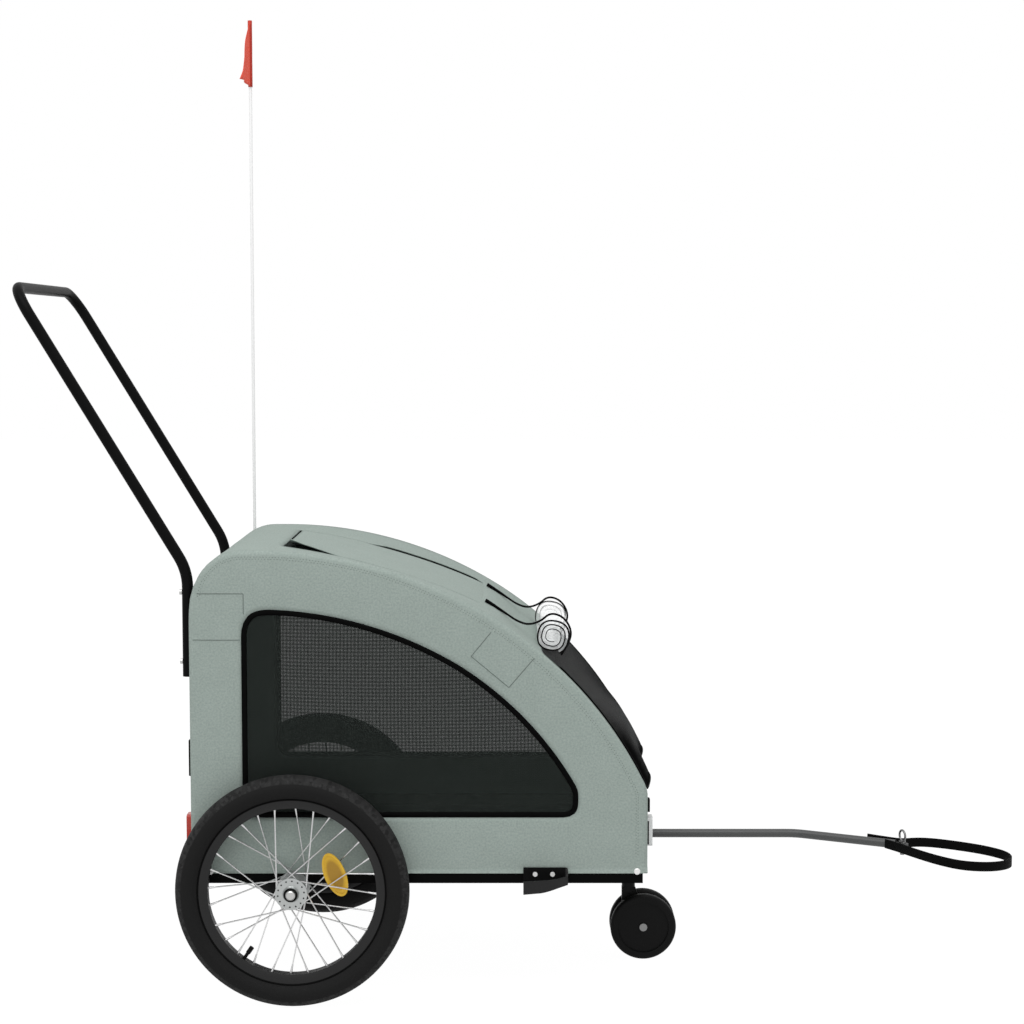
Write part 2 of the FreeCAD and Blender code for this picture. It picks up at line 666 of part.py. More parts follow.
tab_high = tab_low + TIE_TAB_T
tab_ends = (TIE_TAB_X, TIE_START_X - TIE_TAB_GAP)
tab_degs = [math.degrees(math.acos((x - NOSE_CENTRE.x) / tab_low)) for x in tab_ends]
tab_low_ends = [on_circle(NOSE_CENTRE, tab_low, deg) for deg in tab_degs]
tab_high_ends = [on_circle(NOSE_CENTRE, tab_high, deg) for deg in tab_degs]
tab_rim = Part.Wire([arc_between(NOSE_CENTRE, tab_low, tab_degs[0], tab_degs[1]),
                     line(tab_low_ends[1], tab_high_ends[1]),
                     arc_between(NOSE_CENTRE, tab_high, tab_degs[1], tab_degs[0]),
                     line(tab_high_ends[0], tab_low_ends[0])])
tab_left = Part.Face(tab_rim)
tab_left.translate(V(0, TIE_SPACING / 2 - TIE_TAB_W / 2, 0))
tab_left = tab_left.extrude(V(0, TIE_TAB_W, 0))
add("roll_ties", tie_left, mirrored(tie_left), tab_left, mirrored(tab_left))


# Reflectors: rounded plates on the cloth, clear in front and red behind
def plate_pair(x, outward, z):
    low = V(min(x, x + outward), PLATE_SPACING / 2 - PLATE_W / 2, z - PLATE_H / 2)
    plate = box(low, low + V(abs(outward), PLATE_W, PLATE_H))
    face_x = x + outward
    rounded = [edge for edge in plate.Edges if abs(edge.CenterOfMass.x - face_x) > abs(outward) / 4
               and abs(edge.tangentAt(edge.FirstParameter).x) > 0.99]
    plate = plate.makeFillet(PLATE_R, rounded)
    return plate, mirrored(plate)


add("front_reflectors", *plate_pair(CABIN_FRONT, PLATE_T, FRONT_PLATE_Z))
add("rear_reflectors", *plate_pair(CABIN_REAR, -REAR_PLATE_T, REAR_PLATE_Z))

# Push handle: one bent tube against the rear panel, bolted through to the rear bars
handle_side = [V(HANDLE_X, -HALF_HANDLE, HANDLE_FOOT_Z), V(HANDLE_X, -HALF_HANDLE, HANDLE_KNEE_Z),
               V(HANDLE_TOP_X, -HALF_HANDLE, HANDLE_TOP_Z)]
other_side = [V(point.x, -point.y, point.z) for point in reversed(handle_side)]
handle_path = rounded_path(handle_side + other_side,
                           [HANDLE_KNEE_R, HANDLE_CORNER_R, HANDLE_CORNER_R, HANDLE_KNEE_R])
handle = tube_along(handle_path, HANDLE_D, HANDLE_WALL)
handle_bolts = []
for y in (-HALF_HANDLE, HALF_HANDLE):
    for z in (HANDLE_BOLT_LOW_Z, HANDLE_BOLT_HIGH_Z):
        back = V(HANDLE_X - HANDLE_D / 2, y, z)
        front = V(CABIN_REAR + HOOP_INSET, y, z)
        handle = handle.cut(rod(back - ALONG_X * OVERRUN, front, HANDLE_BOLT_D + 2 * RUN_FIT))
        shank = rod(back, front, HANDLE_BOLT_D)
        handle_bolts.append(shank.fuse(rod(back - ALONG_X * HANDLE_BOLT_HEAD_T, back, HANDLE_BOLT_HEAD_D)))
add("push_handle", handle)
add("handle_bolts", *handle_bolts)

# Wheel guards: a flat strip folded back and out from a plate on the rail
guard_y = SIDE_OUT + GUARD_T / 2
guard_path = rounded_path([V(GUARD_REAR, guard_y, 0), V(GUARD_NOSE, guard_y, 0),
                           V(GUARD_ELBOW_X, guard_y + GUARD_ELBOW_OUT, 0),
                           V(GUARD_REAR, guard_y + GUARD_TIP_OUT, 0)], [GUARD_NOSE_R, GUARD_ELBOW_R])
guard = band_along(guard_path, GUARD_T, GUARD_BOTTOM, GUARD_BOTTOM + GUARD_H)
screws = []
for place in screw_places:
    plate_out = V(place.x, SIDE_OUT + GUARD_T, place.z)
    rail_in = V(place.x, RAIL_IN + RAIL_WALL, place.z)
    guard = guard.cut(rod(rail_in, plate_out + ALONG_Y * (GUARD_T / 2), SCREW_D + 2 * RUN_FIT))
    screw_head = rod(plate_out, plate_out + ALONG_Y * SCREW_HEAD_T, SCREW_HEAD_D)
    screw = rod(rail_in, plate_out, SCREW_D).fuse(screw_head)
    screws += [screw, mirrored(screw)]
add("wheel_guard_left", guard)
add("wheel_guard_right", mirrored(guard))
add("guard_screws", *screws)


# Road wheel, drawn about the Y axis at the origin with its outer side to the left
def spun(points):
    """Turn a section, given as pairs of side and radius, about the wheel's axis."""
    return polygon([V(0, side, radius) for side, radius in points]).revolve(ORIGIN, ALONG_Y, 360)


bead = RIM_W / 2 - RIM_FLANGE_T
seat = RIM_WELL_D / 2
tyre_mid = (RIM_EDGE_D / 2 + WHEEL_R) / 2
shoulder = WHEEL_R - TYRE_CROWN
walls = []
for side in (-1, 1):
    walls.append(Part.Arc(V(0, side * bead, RIM_EDGE_D / 2), V(0, side * TYRE_W / 2, tyre_mid),
                          V(0, side * TYRE_TREAD_W / 2, shoulder)).toShape().discretize(TYRE_POINTS))
tread = Part.Arc(V(0, -TYRE_TREAD_W / 2, shoulder), V(0, 0, WHEEL_R),
                 V(0, TYRE_TREAD_W / 2, shoulder)).toShape().discretize(TYRE_POINTS)
tyre_section = walls[0] + tread[1:-1] + walls[1][::-1] + [V(0, bead, seat), V(0, -bead, seat)]
tyre = polygon(tyre_section).revolve(ORIGIN, ALONG_Y, 360)

rim_half = RIM_W / 2
rim_section = [(RIM_INNER_W / 2, RIM_INNER_D / 2), (rim_half, seat - RIM_FLANGE_T),
               (rim_half, RIM_EDGE_D / 2), (bead, RIM_EDGE_D / 2), (bead, seat)]
rim_back = [(-side, radius) for side, radius in reversed(rim_section)]
rim = spun(rim_section + rim_back)

flange_out = HUB_FLANGE_SPACING / 2 + HUB_FLANGE_T / 2
flange_in = HUB_FLANGE_SPACING / 2 - HUB_FLANGE_T / 2
hub_half = [(flange_in, HUB_BARREL_D / 2), (flange_in, HUB_FLANGE_D / 2), (flange_out, HUB_FLANGE_D / 2),
            (flange_out, HUB_BARREL_D / 2), (HUB_W / 2, HUB_END_D / 2), (HUB_W / 2, AXLE_D / 2 + RUN_FIT)]
hub = spun([(-side, radius) for side, radius in reversed(hub_half)] + hub_half)

spoke_head_r = (RIM_INNER_D / 2 + seat) / 2
spokes = []
for k in range(SPOKES):
    side = -1 if k % 2 else 1
    lean = -1 if (k // 2) % 2 else 1
    lane = SPOKE_LANE * lean
    rim_deg = SPOKE_START_DEG + 360 * k / SPOKES
    foot = on_circle(ORIGIN, SPOKE_FOOT_R, rim_deg + lean * SPOKE_LACING_DEG)
    head = on_circle(ORIGIN, spoke_head_r, rim_deg)
    foot.y = side * HUB_FLANGE_SPACING / 2 + lane
    head.y = side * SPOKE_RIM_ROW + lane
    spokes.append(wire_rod(foot, head, SPOKE_D).cut(hub).cut(rim))

valve_tip = on_circle(ORIGIN, RIM_INNER_D / 2 - VALVE_L, 0)
valve = rod(valve_tip, on_circle(ORIGIN, RIM_INNER_D / 2, 0), VALVE_D)
valve = valve.fuse(rod(valve_tip, valve_tip + ALONG_X * VALVE_CAP_L, VALVE_CAP_D))
valve.rotate(ORIGIN, ALONG_Y, -VALVE_DEG)
valve = valve.cut(rim)


def lens(length, width, low, high):
    """A flat oval plate, its length along Z, around the wheel's X axis place."""
    oval = Part.Ellipse(ORIGIN, length / 2, width / 2).toShape()
    oval.rotate(ORIGIN, ALONG_X, -90)
    oval.rotate(ORIGIN, ALONG_Y, 90)
    face = Part.Face(Part.Wire(oval))
    face.translate(V(0, low, 0))
    return face.extrude(V(0, high - low, 0))


# The plate lies inside the outer row of spokes, just clear of it at its far edge
glow_corner = GLOW_RADIUS + GLOW_W / 2
row_start = SPOKE_FOOT_R * math.cos(math.radians(SPOKE_LACING_DEG))
row_share = (glow_corner - row_start) / (spoke_head_r - row_start)
row_there = HUB_FLANGE_SPACING / 2 + (SPOKE_RIM_ROW - HUB_FLANGE_SPACING / 2) * row_share
glow_high = row_there - SPOKE_LANE - SPOKE_D / 2 - AIR
glow = lens(GLOW_L, GLOW_W, glow_high - GLOW_T, glow_high).cut(
    lens(GLOW_L - 2 * GLOW_RIM_W, GLOW_W - 2 * GLOW_RIM_W, glow_high - GLOW_RECESS, glow_high + OVERRUN))
glow.translate(ALONG_X * GLOW_RADIUS)
glow.rotate(ORIGIN, ALONG_Y, -GLOW_DEG)

axle_end = WHEEL_Y + HUB_W / 2 + AIR
axle = rod(V(0, SIDE_IN - AXLE_GRIP, WHEEL_R), V(0, axle_end, WHEEL_R), AXLE_D)
cap = rod(V(0, axle_end, WHEEL_R), V(0, axle_end + AXLE_CAP_T, WHEEL_R), AXLE_CAP_D)
cap_rim = max(cap.Edges, key=lambda edge: edge.CenterOfMass.y)
axle = axle.fuse(cap.makeChamfer(AXLE_CAP_T / 4, [cap_rim]))
add("axle_left", axle)
add("axle_right", mirrored(axle))

for name, shape in (("tyre", tyre), ("rim", rim), ("hub", hub), ("spokes", Part.makeCompound(spokes)),
                    ("valve", valve), ("spoke_reflector", glow)):
    placed = shape.copy()
    placed.translate(V(0, WHEEL_Y, WHEEL_R))
    parts[name + "_left"] = placed
    parts[name + "_right"] = mirrored(placed)

# Caster: two discs on a bolt either side of a hood that swivels in a socket
caster_at = V(CASTER_X + CASTER_TRAIL, 0, CASTER_D / 2)
socket_low = CASTER_NECK_Z + AIR
socket = rod(V(CASTER_X, 0, socket_low), V(CASTER_X, 0, RAIL_BOTTOM), CASTER_SOCKET_D)
stem_bore = rod(V(CASTER_X, 0, socket_low - OVERRUN), V(CASTER_X, 0, RAIL_BOTTOM + OVERRUN),
                CASTER_STEM_D + 2 * RUN_FIT)
add("caster_socket", socket.cut(stem_bore))

hood_half = CASTER_HOOD_W / 2
hood = rod(caster_at - ALONG_Y * hood_half, caster_at + ALONG_Y * hood_half, CASTER_HOOD_D)
neck_base = V(CASTER_X - CASTER_NECK_D / 2, -hood_half, caster_at.z)
web = polygon([neck_base, V(CASTER_X - CASTER_NECK_D / 2, -hood_half, CASTER_NECK_Z),
               V(CASTER_X + CASTER_NECK_D / 2, -hood_half, CASTER_NECK_Z),
               V(caster_at.x + CASTER_NECK_D / 2, -hood_half, caster_at.z)]).extrude(V(0, CASTER_HOOD_W, 0))
neck = rod(V(CASTER_X, 0, caster_at.z + CASTER_HOOD_D / 2), V(CASTER_X, 0, CASTER_NECK_Z), CASTER_NECK_D)
stem = rod(V(CASTER_X, 0, CASTER_NECK_Z), V(CASTER_X, 0, RAIL_BOTTOM - CASTER_STEM_TOP_GAP), CASTER_STEM_D)
disc_out = hood_half + AIR + CASTER_DISC_W
bore_reach = ALONG_Y * (disc_out + OVERRUN)
bolt_bore = rod(caster_at - bore_reach, caster_at + bore_reach, CASTER_BOLT_D)
disc_clear = caster_at.z + CASTER_D / 2 + AIR
for inner, outer in ((hood_half, CASTER_NECK_D), (-CASTER_NECK_D, -hood_half)):
    neck = neck.cut(box(V(CASTER_X - CASTER_NECK_D, inner, 0),
                        V(CASTER_X + CASTER_NECK_D, outer, disc_clear)))
add("caster_fork", hood.fuse(web).fuse(neck).fuse(stem).removeSplitter().cut(bolt_bore))

disc_low = hood_half + AIR
edge_turns = [math.pi / 2 * i / CASTER_EDGE_STEPS for i in range(CASTER_EDGE_STEPS + 1)]
disc_edge = [(disc_out - CASTER_EDGE_R * (1 - math.sin(turn)),
              CASTER_D / 2 - CASTER_EDGE_R * (1 - math.cos(turn))) for turn in edge_turns]
disc_back = [(disc_low + disc_out - side, radius) for side, radius in reversed(disc_edge)]
disc_bore = CASTER_BOLT_D / 2 + RUN_FIT
dish = disc_out - CASTER_RECESS
disc = spun([(disc_low, disc_bore)] + disc_back + disc_edge +
            [(disc_out, CASTER_RIM_D / 2), (dish, CASTER_RIM_D / 2), (dish, disc_bore)])
disc.translate(caster_at)
add("caster_discs", disc, mirrored(disc))
head_at = dish + AIR
caster_bolt = rod(caster_at - ALONG_Y * head_at, caster_at + ALONG_Y * head_at, CASTER_BOLT_D)
for side in (-1, 1):
    inner = caster_at + ALONG_Y * (side * head_at)
    outer = inner + ALONG_Y * (side * CASTER_BOLT_HEAD_T)
    caster_bolt = caster_bolt.fuse(rod(inner, outer, CASTER_BOLT_HEAD_D))
add("caster_bolt", caster_bolt)

# Tow bar: slides into a receiver under the chassis, clamped by a knob from below
receiver = rod(V(RECEIVER_REAR, TOW_Y, TOW_Z), V(RECEIVER_FRONT, TOW_Y, TOW_Z), RECEIVER_D)
boss_low = TOW_Z - RECEIVER_D / 2 - KNOB_BOSS_H
receiver = receiver.fuse(rod(V(KNOB_X, TOW_Y, boss_low), V(KNOB_X, TOW_Y, TOW_Z), KNOB_BOSS_D))
receiver = receiver.cut(rod(V(RECEIVER_REAR - OVERRUN, TOW_Y, TOW_Z),
                            V(RECEIVER_FRONT + OVERRUN, TOW_Y, TOW_Z), TOW_D + 2 * AIR))
receiver = receiver.cut(rod(V(KNOB_X, TOW_Y, boss_low - OVERRUN), V(KNOB_X, TOW_Y, TOW_Z),
                            KNOB_SCREW_D + 2 * RUN_FIT))
add("tow_receiver", receiver)

screw_top = TOW_Z - TOW_D / 2 - AIR
knob_top = boss_low - KNOB_NECK
knob = rod(V(KNOB_X, TOW_Y, knob_top - KNOB_T), V(KNOB_X, TOW_Y, knob_top), KNOB_D - KNOB_LOBE_D / 2)
for i in range(KNOB_LOBES):
    angle = 2 * math.pi * i / KNOB_LOBES
    reach = (KNOB_D - KNOB_LOBE_D) / 2
    lobe = V(KNOB_X + reach * math.cos(angle), TOW_Y + reach * math.sin(angle), knob_top)
    knob = knob.fuse(rod(lobe - ALONG_Z * KNOB_T, lobe, KNOB_LOBE_D))
knob_screw = rod(V(KNOB_X, TOW_Y, knob_top), V(KNOB_X, TOW_Y, screw_top), KNOB_SCREW_D)
knob = knob.removeSplitter().fuse(knob_screw)
add("clamp_knob", knob)

tow_path = rounded_path([V(RECEIVER_FRONT - TOW_GRIP, TOW_Y, TOW_Z), TOW_BEND, TOW_END], [TOW_BEND_R])
tow_bar = tube_along(tow_path, TOW_D, TOW_WALL)
tongue = box(V(-TONGUE_L, -TONGUE_W / 2, -TONGUE_T / 2), V(TONGUE_L, TONGUE_W / 2, TONGUE_T / 2))
tongue_corners = [edge for edge in tongue.Edges if edge.CenterOfMass.x > TONGUE_L - AIR
                  and abs(edge.tangentAt(edge.FirstParameter).z) > 0.99]
tongue = tongue.makeFillet(TONGUE_W / 2 - AIR, tongue_corners)
plug = rod(V(-TONGUE_L, 0, 0), V(0, 0, 0), TOW_D - TOW_WALL)
tongue = tongue.fuse(plug)
tongue.rotate(ORIGIN, ALONG_Z, -TOW_BEND_DEG)
tongue.translate(TOW_END)
pin_low = PIN_AT - ALONG_Z * PIN_BELOW
pin_seat = PIN_AT + ALONG_Z * (TONGUE_T / 2 + AIR)
tow_bar = tow_bar.fuse(tongue).cut(rod(pin_low - ALONG_Z * OVERRUN, pin_seat, PIN_D + 2 * RUN_FIT))
add("tow_bar", tow_bar)

pin_top = pin_seat + ALONG_Z * PIN_COLLAR_T
ring_wire = Part.Circle(V(0, (PIN_RING_D - PIN_RING_WIRE) / 2, 0), ALONG_Z, PIN_RING_WIRE / 2)
ring = polygon(corners_on(ring_wire, TUBE_SIDES)).revolve(ORIGIN, ALONG_X, 360)
ring.rotate(ORIGIN, ALONG_Z, PIN_RING_TURN_DEG)
ring.translate(pin_top + ALONG_Z * (PIN_RING_D / 2 - PIN_RING_WIRE / 2))
groove_low = pin_low + ALONG_Z * PIN_TIP_L
groove_top = groove_low + ALONG_Z * PIN_GROOVE_L
pin = rod(pin_low, groove_low, PIN_D).fuse(rod(groove_low, groove_top, PIN_GROOVE_D))
pin = pin.fuse(rod(groove_top, pin_seat, PIN_D)).fuse(rod(pin_seat, pin_top, PIN_COLLAR_D)).fuse(ring)
add("hitch_pin", pin)

# Safety strap: a loop of webbing whose two ends lie along the sides of the bar
route = [V(PIN_AT.x + x, PIN_AT.y + y, 0) for x, y in STRAP_ROUTE]
strap_radii = []
for before, corner, after in zip(route, route[1:], route[2:]):
    turn = math.pi - (before - corner).getAngle(after - corner)
    shorter = min((before - corner).Length, (after - corner).Length)
    strap_radii.append(0.45 * shorter / math.tan(turn / 2))
strap_path = rounded_path(route, strap_radii)
strap = band_along(strap_path, STRAP_T, TOW_Z - STRAP_W / 2, TOW_Z + STRAP_W / 2)
print("strap radii", [round(radius) for radius in strap_radii], "length", round(strap_path.Length))
strap.rotate(PIN_AT, ALONG_Y, STRAP_DROP_DEG)
add("safety_strap", strap)

# Flag: a rod in a sleeve sewn to the left side, with a pennant hemmed round its top
sleeve = rod(V(POLE_X, POLE_Y, SLEEVE_BOTTOM_Z), V(POLE_X, POLE_Y, SLEEVE_TOP_Z), SLEEVE_D)
add("pole_sleeve", sleeve.cut(rod(V(POLE_X, POLE_Y, POLE_FOOT_Z), V(POLE_X, POLE_Y, SLEEVE_TOP_Z + OVERRUN),
                                  POLE_D + 2 * RUN_FIT)))
add("flag_pole", rod(V(POLE_X, POLE_Y, POLE_FOOT_Z), V(POLE_X, POLE_Y, POLE_TOP_Z), POLE_D))
flag_low = FLAG_TOP_Z - FLAG_H
hem = rod(V(POLE_X, POLE_Y, flag_low), V(POLE_X, POLE_Y, FLAG_TOP_Z), FLAG_HEM_D)
pennant = polygon([V(POLE_X - FLAG_T / 2, POLE_Y, FLAG_TOP_Z), V(POLE_X - FLAG_T / 2, POLE_Y, flag_low),
                   V(POLE_X - FLAG_T / 2, POLE_Y - FLAG_L, flag_low)]).extrude(V(FLAG_T, 0, 0))
flag = hem.fuse(pennant).cut(rod(V(POLE_X, POLE_Y, flag_low - OVERRUN), V(POLE_X, POLE_Y, POLE_TOP_Z),
                                 POLE_D + 2 * RUN_FIT))
add("flag", flag)

# The origin goes below the middle of the trailer, from the handle to the hitch
reach_back = HANDLE_TOP_X - HANDLE_D / 2
reach_ahead = parts["tow_bar"].optimalBoundingBox(False, False).XMax
middle = (reach_back + reach_ahead) / 2
print("origin is moved to X", round(middle, 3))

os.makedirs("parts", exist_ok=True)
for name, shape in parts.items():
    shape = shape.copy()
    shape.translate(V(-middle, 0, 0))
    if not shape.isValid():
        print("invalid", name)
    shape.exportStep("parts/" + name + ".step")
print(len(parts), "pieces")
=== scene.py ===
import math

import bmesh
import bpy
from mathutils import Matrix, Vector, noise


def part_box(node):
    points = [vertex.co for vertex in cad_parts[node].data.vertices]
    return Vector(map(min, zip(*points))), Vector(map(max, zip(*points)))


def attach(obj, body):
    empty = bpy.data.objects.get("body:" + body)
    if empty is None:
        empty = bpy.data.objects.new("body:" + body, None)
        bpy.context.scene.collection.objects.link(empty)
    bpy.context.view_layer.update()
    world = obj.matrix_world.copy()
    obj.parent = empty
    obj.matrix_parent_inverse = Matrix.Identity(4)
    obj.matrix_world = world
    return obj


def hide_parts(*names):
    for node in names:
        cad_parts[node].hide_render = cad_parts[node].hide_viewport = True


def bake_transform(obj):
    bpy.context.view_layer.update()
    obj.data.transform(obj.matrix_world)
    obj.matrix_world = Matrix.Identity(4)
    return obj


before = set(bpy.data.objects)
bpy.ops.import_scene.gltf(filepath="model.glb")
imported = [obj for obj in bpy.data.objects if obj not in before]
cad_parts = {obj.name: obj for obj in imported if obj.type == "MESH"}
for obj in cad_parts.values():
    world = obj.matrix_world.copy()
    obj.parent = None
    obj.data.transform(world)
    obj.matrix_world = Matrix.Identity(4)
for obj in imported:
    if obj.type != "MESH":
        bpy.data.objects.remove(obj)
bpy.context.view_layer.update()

# The studio: a pale seamless floor under an even white sky, with one wide soft lamp above and in
# front. The camera stands well back at the trailer's right side and looks slightly down on it.
scene = bpy.context.scene
scene.view_settings.view_transform = "Standard"
WHITE = (1.0, 1.0, 1.0, 1.0)


def feed(tree, node, inputs):
    """Feed a node's inputs: a socket is linked, any other value is set."""
    for key, value in inputs.items():
        if isinstance(value, bpy.types.NodeSocket):
            tree.links.new(value, node.inputs[key])
        else:
            node.inputs[key].default_value = value
    return node


def put(tree, kind, inputs, **settings):
    """Add a node, set it up and feed its inputs."""
    node = tree.nodes.new("ShaderNode" + kind)
    for name, value in settings.items():
        setattr(node, name, value)
    return feed(tree, node, inputs)


def reckon(tree, operation, *values):
    """What one Math node gives for these values."""
    return put(tree, "Math", dict(enumerate(values)), operation=operation).outputs[0]


def seen_plainly(tree):
    """One for rays from the camera, through film or off a gloss, nothing for the light that fills the room."""
    path = put(tree, "LightPath", {}).outputs
    straight = reckon(tree, "MAXIMUM", path["Is Camera Ray"], path["Is Transmission Ray"])
    return reckon(tree, "MAXIMUM", straight, path["Is Glossy Ray"])


sky = bpy.data.worlds.new("studio_sky")
sky.use_nodes = True
scene.world = sky
sky_tree = sky.node_tree
sky_tree.nodes.clear()
sky_soft = put(sky_tree, "Background", {"Color": WHITE, "Strength": 0.62})
sky_white = put(sky_tree, "Background", {"Color": WHITE, "Strength": 1.0})
sky_mix = put(sky_tree, "MixShader", {0: seen_plainly(sky_tree), 1: sky_soft.outputs[0], 2: sky_white.outputs[0]})
put(sky_tree, "OutputWorld", {"Surface": sky_mix.outputs[0]})

bpy.ops.object.select_all(action="DESELECT")
bpy.ops.mesh.primitive_plane_add(size=40.0, location=(0.0, 0.0, -0.002))
floor = bpy.context.object
floor.name = "studio_floor"
paper = bpy.data.materials.new("floor_paper")
paper.use_nodes = True
paper_tree = paper.node_tree
paper_tree.nodes.clear()
paper_dull = put(paper_tree, "BsdfDiffuse", {"Color": (0.9, 0.9, 0.9, 1.0)})
paper_glow = put(paper_tree, "Emission", {"Strength": 1.05})
paper_share = reckon(paper_tree, "MULTIPLY", seen_plainly(paper_tree), 0.94)
paper_mix = put(paper_tree, "MixShader", {0: paper_share, 1: paper_dull.outputs[0], 2: paper_glow.outputs[0]})
put(paper_tree, "OutputMaterial", {"Surface": paper_mix.outputs[0]})
floor.data.materials.append(paper)


def add_object(name, data):
    """A new object of the scene."""
    thing = bpy.data.objects.new(name, data)
    scene.collection.objects.link(thing)
    return thing


key = add_object("soft_key", bpy.data.lights.new("soft_key", "AREA"))
key.data.shape = "RECTANGLE"
key.data.size = 4.0
key.data.size_y = 3.0
key.data.energy = 114.0
key.location = (-0.5, -1.9, 4.4)
key.rotation_euler = (math.radians(23.0), 0.0, math.radians(-8.0))

camera = add_object("photo_camera", bpy.data.cameras.new("photo_camera"))
camera.data.sensor_width = 36.0
camera.data.lens = 75.315
camera.data.clip_end = 60.0
camera.location = (0.056361, -3.8402, 1.1247)
camera.rotation_euler = (math.radians(90.0 - 4.641), 0.0, 0.0)
scene.camera = camera

# Chassis: square side rails, cross tubes and a round axle tube of thin steel, bolted at the corners.
# Every tube is powder coated satin black, with the faint peel of a baked coat. The tubes low down get a darker copy
# of the coat: painted shade, where less light reaches them from below.
def new_group(name, inputs, outputs):
    """A node group with these sockets, and what comes in by them."""
    group = bpy.data.node_groups.new(name, "ShaderNodeTree")
    for way, sockets in (("INPUT", inputs), ("OUTPUT", outputs)):
        for socket, kind in sockets.items():
            group.interface.new_socket(socket, in_out=way, socket_type="NodeSocket" + kind)
    return group, group.nodes.new("NodeGroupInput").outputs


def group_gives(group, **results):
    """Lead a group's results to its output sockets."""
    way_out = group.nodes.new("NodeGroupOutput")
    for socket, result in results.items():
        group.links.new(result, way_out.inputs[socket])


grain, grain_in = new_group("fine_grain", {"Vector": "Vector", "Scale": "Float", "Dark": "Color", "Light": "Color"},
                            {"Color": "Color", "Mask": "Float"})
grain_fine = put(grain, "TexNoise", {"Vector": grain_in["Vector"], "Scale": grain_in["Scale"], "Detail": 4.0,
                                     "Roughness": 0.6})
grain_mix = put(grain, "Mix", {"Factor": grain_fine.outputs["Fac"]}, data_type="RGBA")
feed(grain, grain_mix, {"A": grain_in["Dark"], "B": grain_in["Light"]})
group_gives(grain, Color=grain_mix.outputs["Result"], Mask=grain_fine.outputs["Fac"])


def new_finish(name):
    material = bpy.data.materials.new(name)
    material.use_nodes = True
    return material, material.node_tree


def grained(tree, place, scale, dark, light):
    """The fine grain between two colours, and its mask."""
    return put(tree, "Group", {"Vector": place, "Scale": scale, "Dark": (*dark, 1.0), "Light": (*light, 1.0)},
               node_tree=grain).outputs


def skin(name, dark, light, scale, rough, metal=0.0, depth=0.0001, shine=0.5):
    """A hard finish: its colour, gloss and tiny relief all drift with the same fine grain."""
    material, tree = new_finish(name)
    drift = grained(tree, put(tree, "TexCoord", {}).outputs["Object"], scale, dark, light)
    gloss = put(tree, "MapRange", {"Value": drift["Mask"], "From Min": 0.3, "From Max": 0.7,
                                   "To Min": rough[0], "To Max": rough[1]})
    relief = put(tree, "Bump", {"Height": drift["Mask"], "Distance": depth, "Strength": 0.6})
    feed(tree, tree.nodes["Principled BSDF"],
         {"Base Color": drift["Color"], "Metallic": metal, "Roughness": gloss.outputs["Result"],
          "Specular IOR Level": shine, "Normal": relief.outputs["Normal"]})
    return material


def crisp(piece):
    """Shade round faces as round, and keep the edges between flat ones."""
    for face in piece.data.polygons:
        face.use_smooth = True
    weld = piece.modifiers.new("weld", "WELD")
    weld.merge_threshold = 0.00001
    split = piece.modifiers.new("crisp_edges", "EDGE_SPLIT")
    split.split_angle = math.radians(33.0)


def dress(material, *names):
    """Give the rigid pieces their finish."""
    for name in names:
        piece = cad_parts[name]
        piece.data.materials.clear()
        piece.data.materials.append(material)
        crisp(piece)


black_coat = skin("black_powder_coat", (0.0022, 0.0022, 0.0023), (0.0045, 0.0045, 0.0046), 420.0, (0.30, 0.42),
                  shine=0.09)
dress(black_coat, "hoop_left", "hoop_right", "roof_bar_rear", "roof_bar_front", "rear_cross_bars", "caster_socket")
# Painted shade: a darker copy of the black coat for the rails, cross tubes, axle tube and receiver low down.
painted_shade_coat = skin("black_coat_painted_shade", (0.0009, 0.0009, 0.0009), (0.0018, 0.0018, 0.0018), 420.0, (0.42, 0.56),
                 shine=0.04)
dress(painted_shade_coat, "axle_tube", "side_rail_left", "side_rail_right", "rear_cross_tube", "mid_cross_tube",
      "front_cross_tube", "tow_receiver")

# Bolts and screws: zinc plated steel with low domed heads, drawn up against the cloth from outside. Those at the
# corners and on the wheel guards get a lighter copy of the zinc: painted highlight, where their heads catch the light.
zinc = skin("zinc_plate", (0.42, 0.42, 0.41), (0.62, 0.62, 0.61), 900.0, (0.26, 0.42), 1.0, 0.00005)
dress(zinc, "handle_bolts")
# Painted highlight: a lighter, less metallic copy of the zinc.
zinc_painted_highlight = skin("zinc_painted_highlight", (0.78, 0.78, 0.77), (0.90, 0.90, 0.89), 900.0, (0.40, 0.55), 0.35, 0.00005)
dress(zinc_painted_highlight, "hoop_bolts", "guard_screws")

# Floor: a thin dark board that lies between the rails and keeps the cabin's foot flat. It is cut from sheet
# plastic with a dull moulded face.
board = skin("floor_board", (0.010, 0.012, 0.012), (0.018, 0.021, 0.020), 160.0, (0.6, 0.8), 0.0, 0.0003, 0.2)
dress(board, "floor_panel")

# Side panels: sage grey coated weave, cut to the cabin's outline, turned over the hoop at the edge and
# sewn to the roof strip with two rows of thread. Each has a large window bound in black tape.
AXLE_X = -0.313439
CABIN_REAR, CABIN_FRONT, CABIN_TOP, CABIN_BOTTOM = -0.169, 0.600, 0.769, 0.221
REAR_CORNER_R, ROOF_R, NOSE_R, CHIN_R = 0.085, 0.758, 0.68789, 0.045
ROOF_END = math.radians(59.0)
REAR_CORNER = Vector((CABIN_REAR + REAR_CORNER_R, CABIN_TOP - REAR_CORNER_R))
ROOF_CENTRE = Vector((-0.060, CABIN_TOP - ROOF_R))
NOSE_CENTRE = ROOF_CENTRE + Vector((math.cos(ROOF_END), math.sin(ROOF_END))) * (ROOF_R - NOSE_R)
CHIN_X = CABIN_FRONT - CHIN_R - NOSE_CENTRE.x
CHIN = Vector((CABIN_FRONT - CHIN_R, NOSE_CENTRE.y + math.sqrt((NOSE_R - CHIN_R) ** 2 - CHIN_X ** 2)))
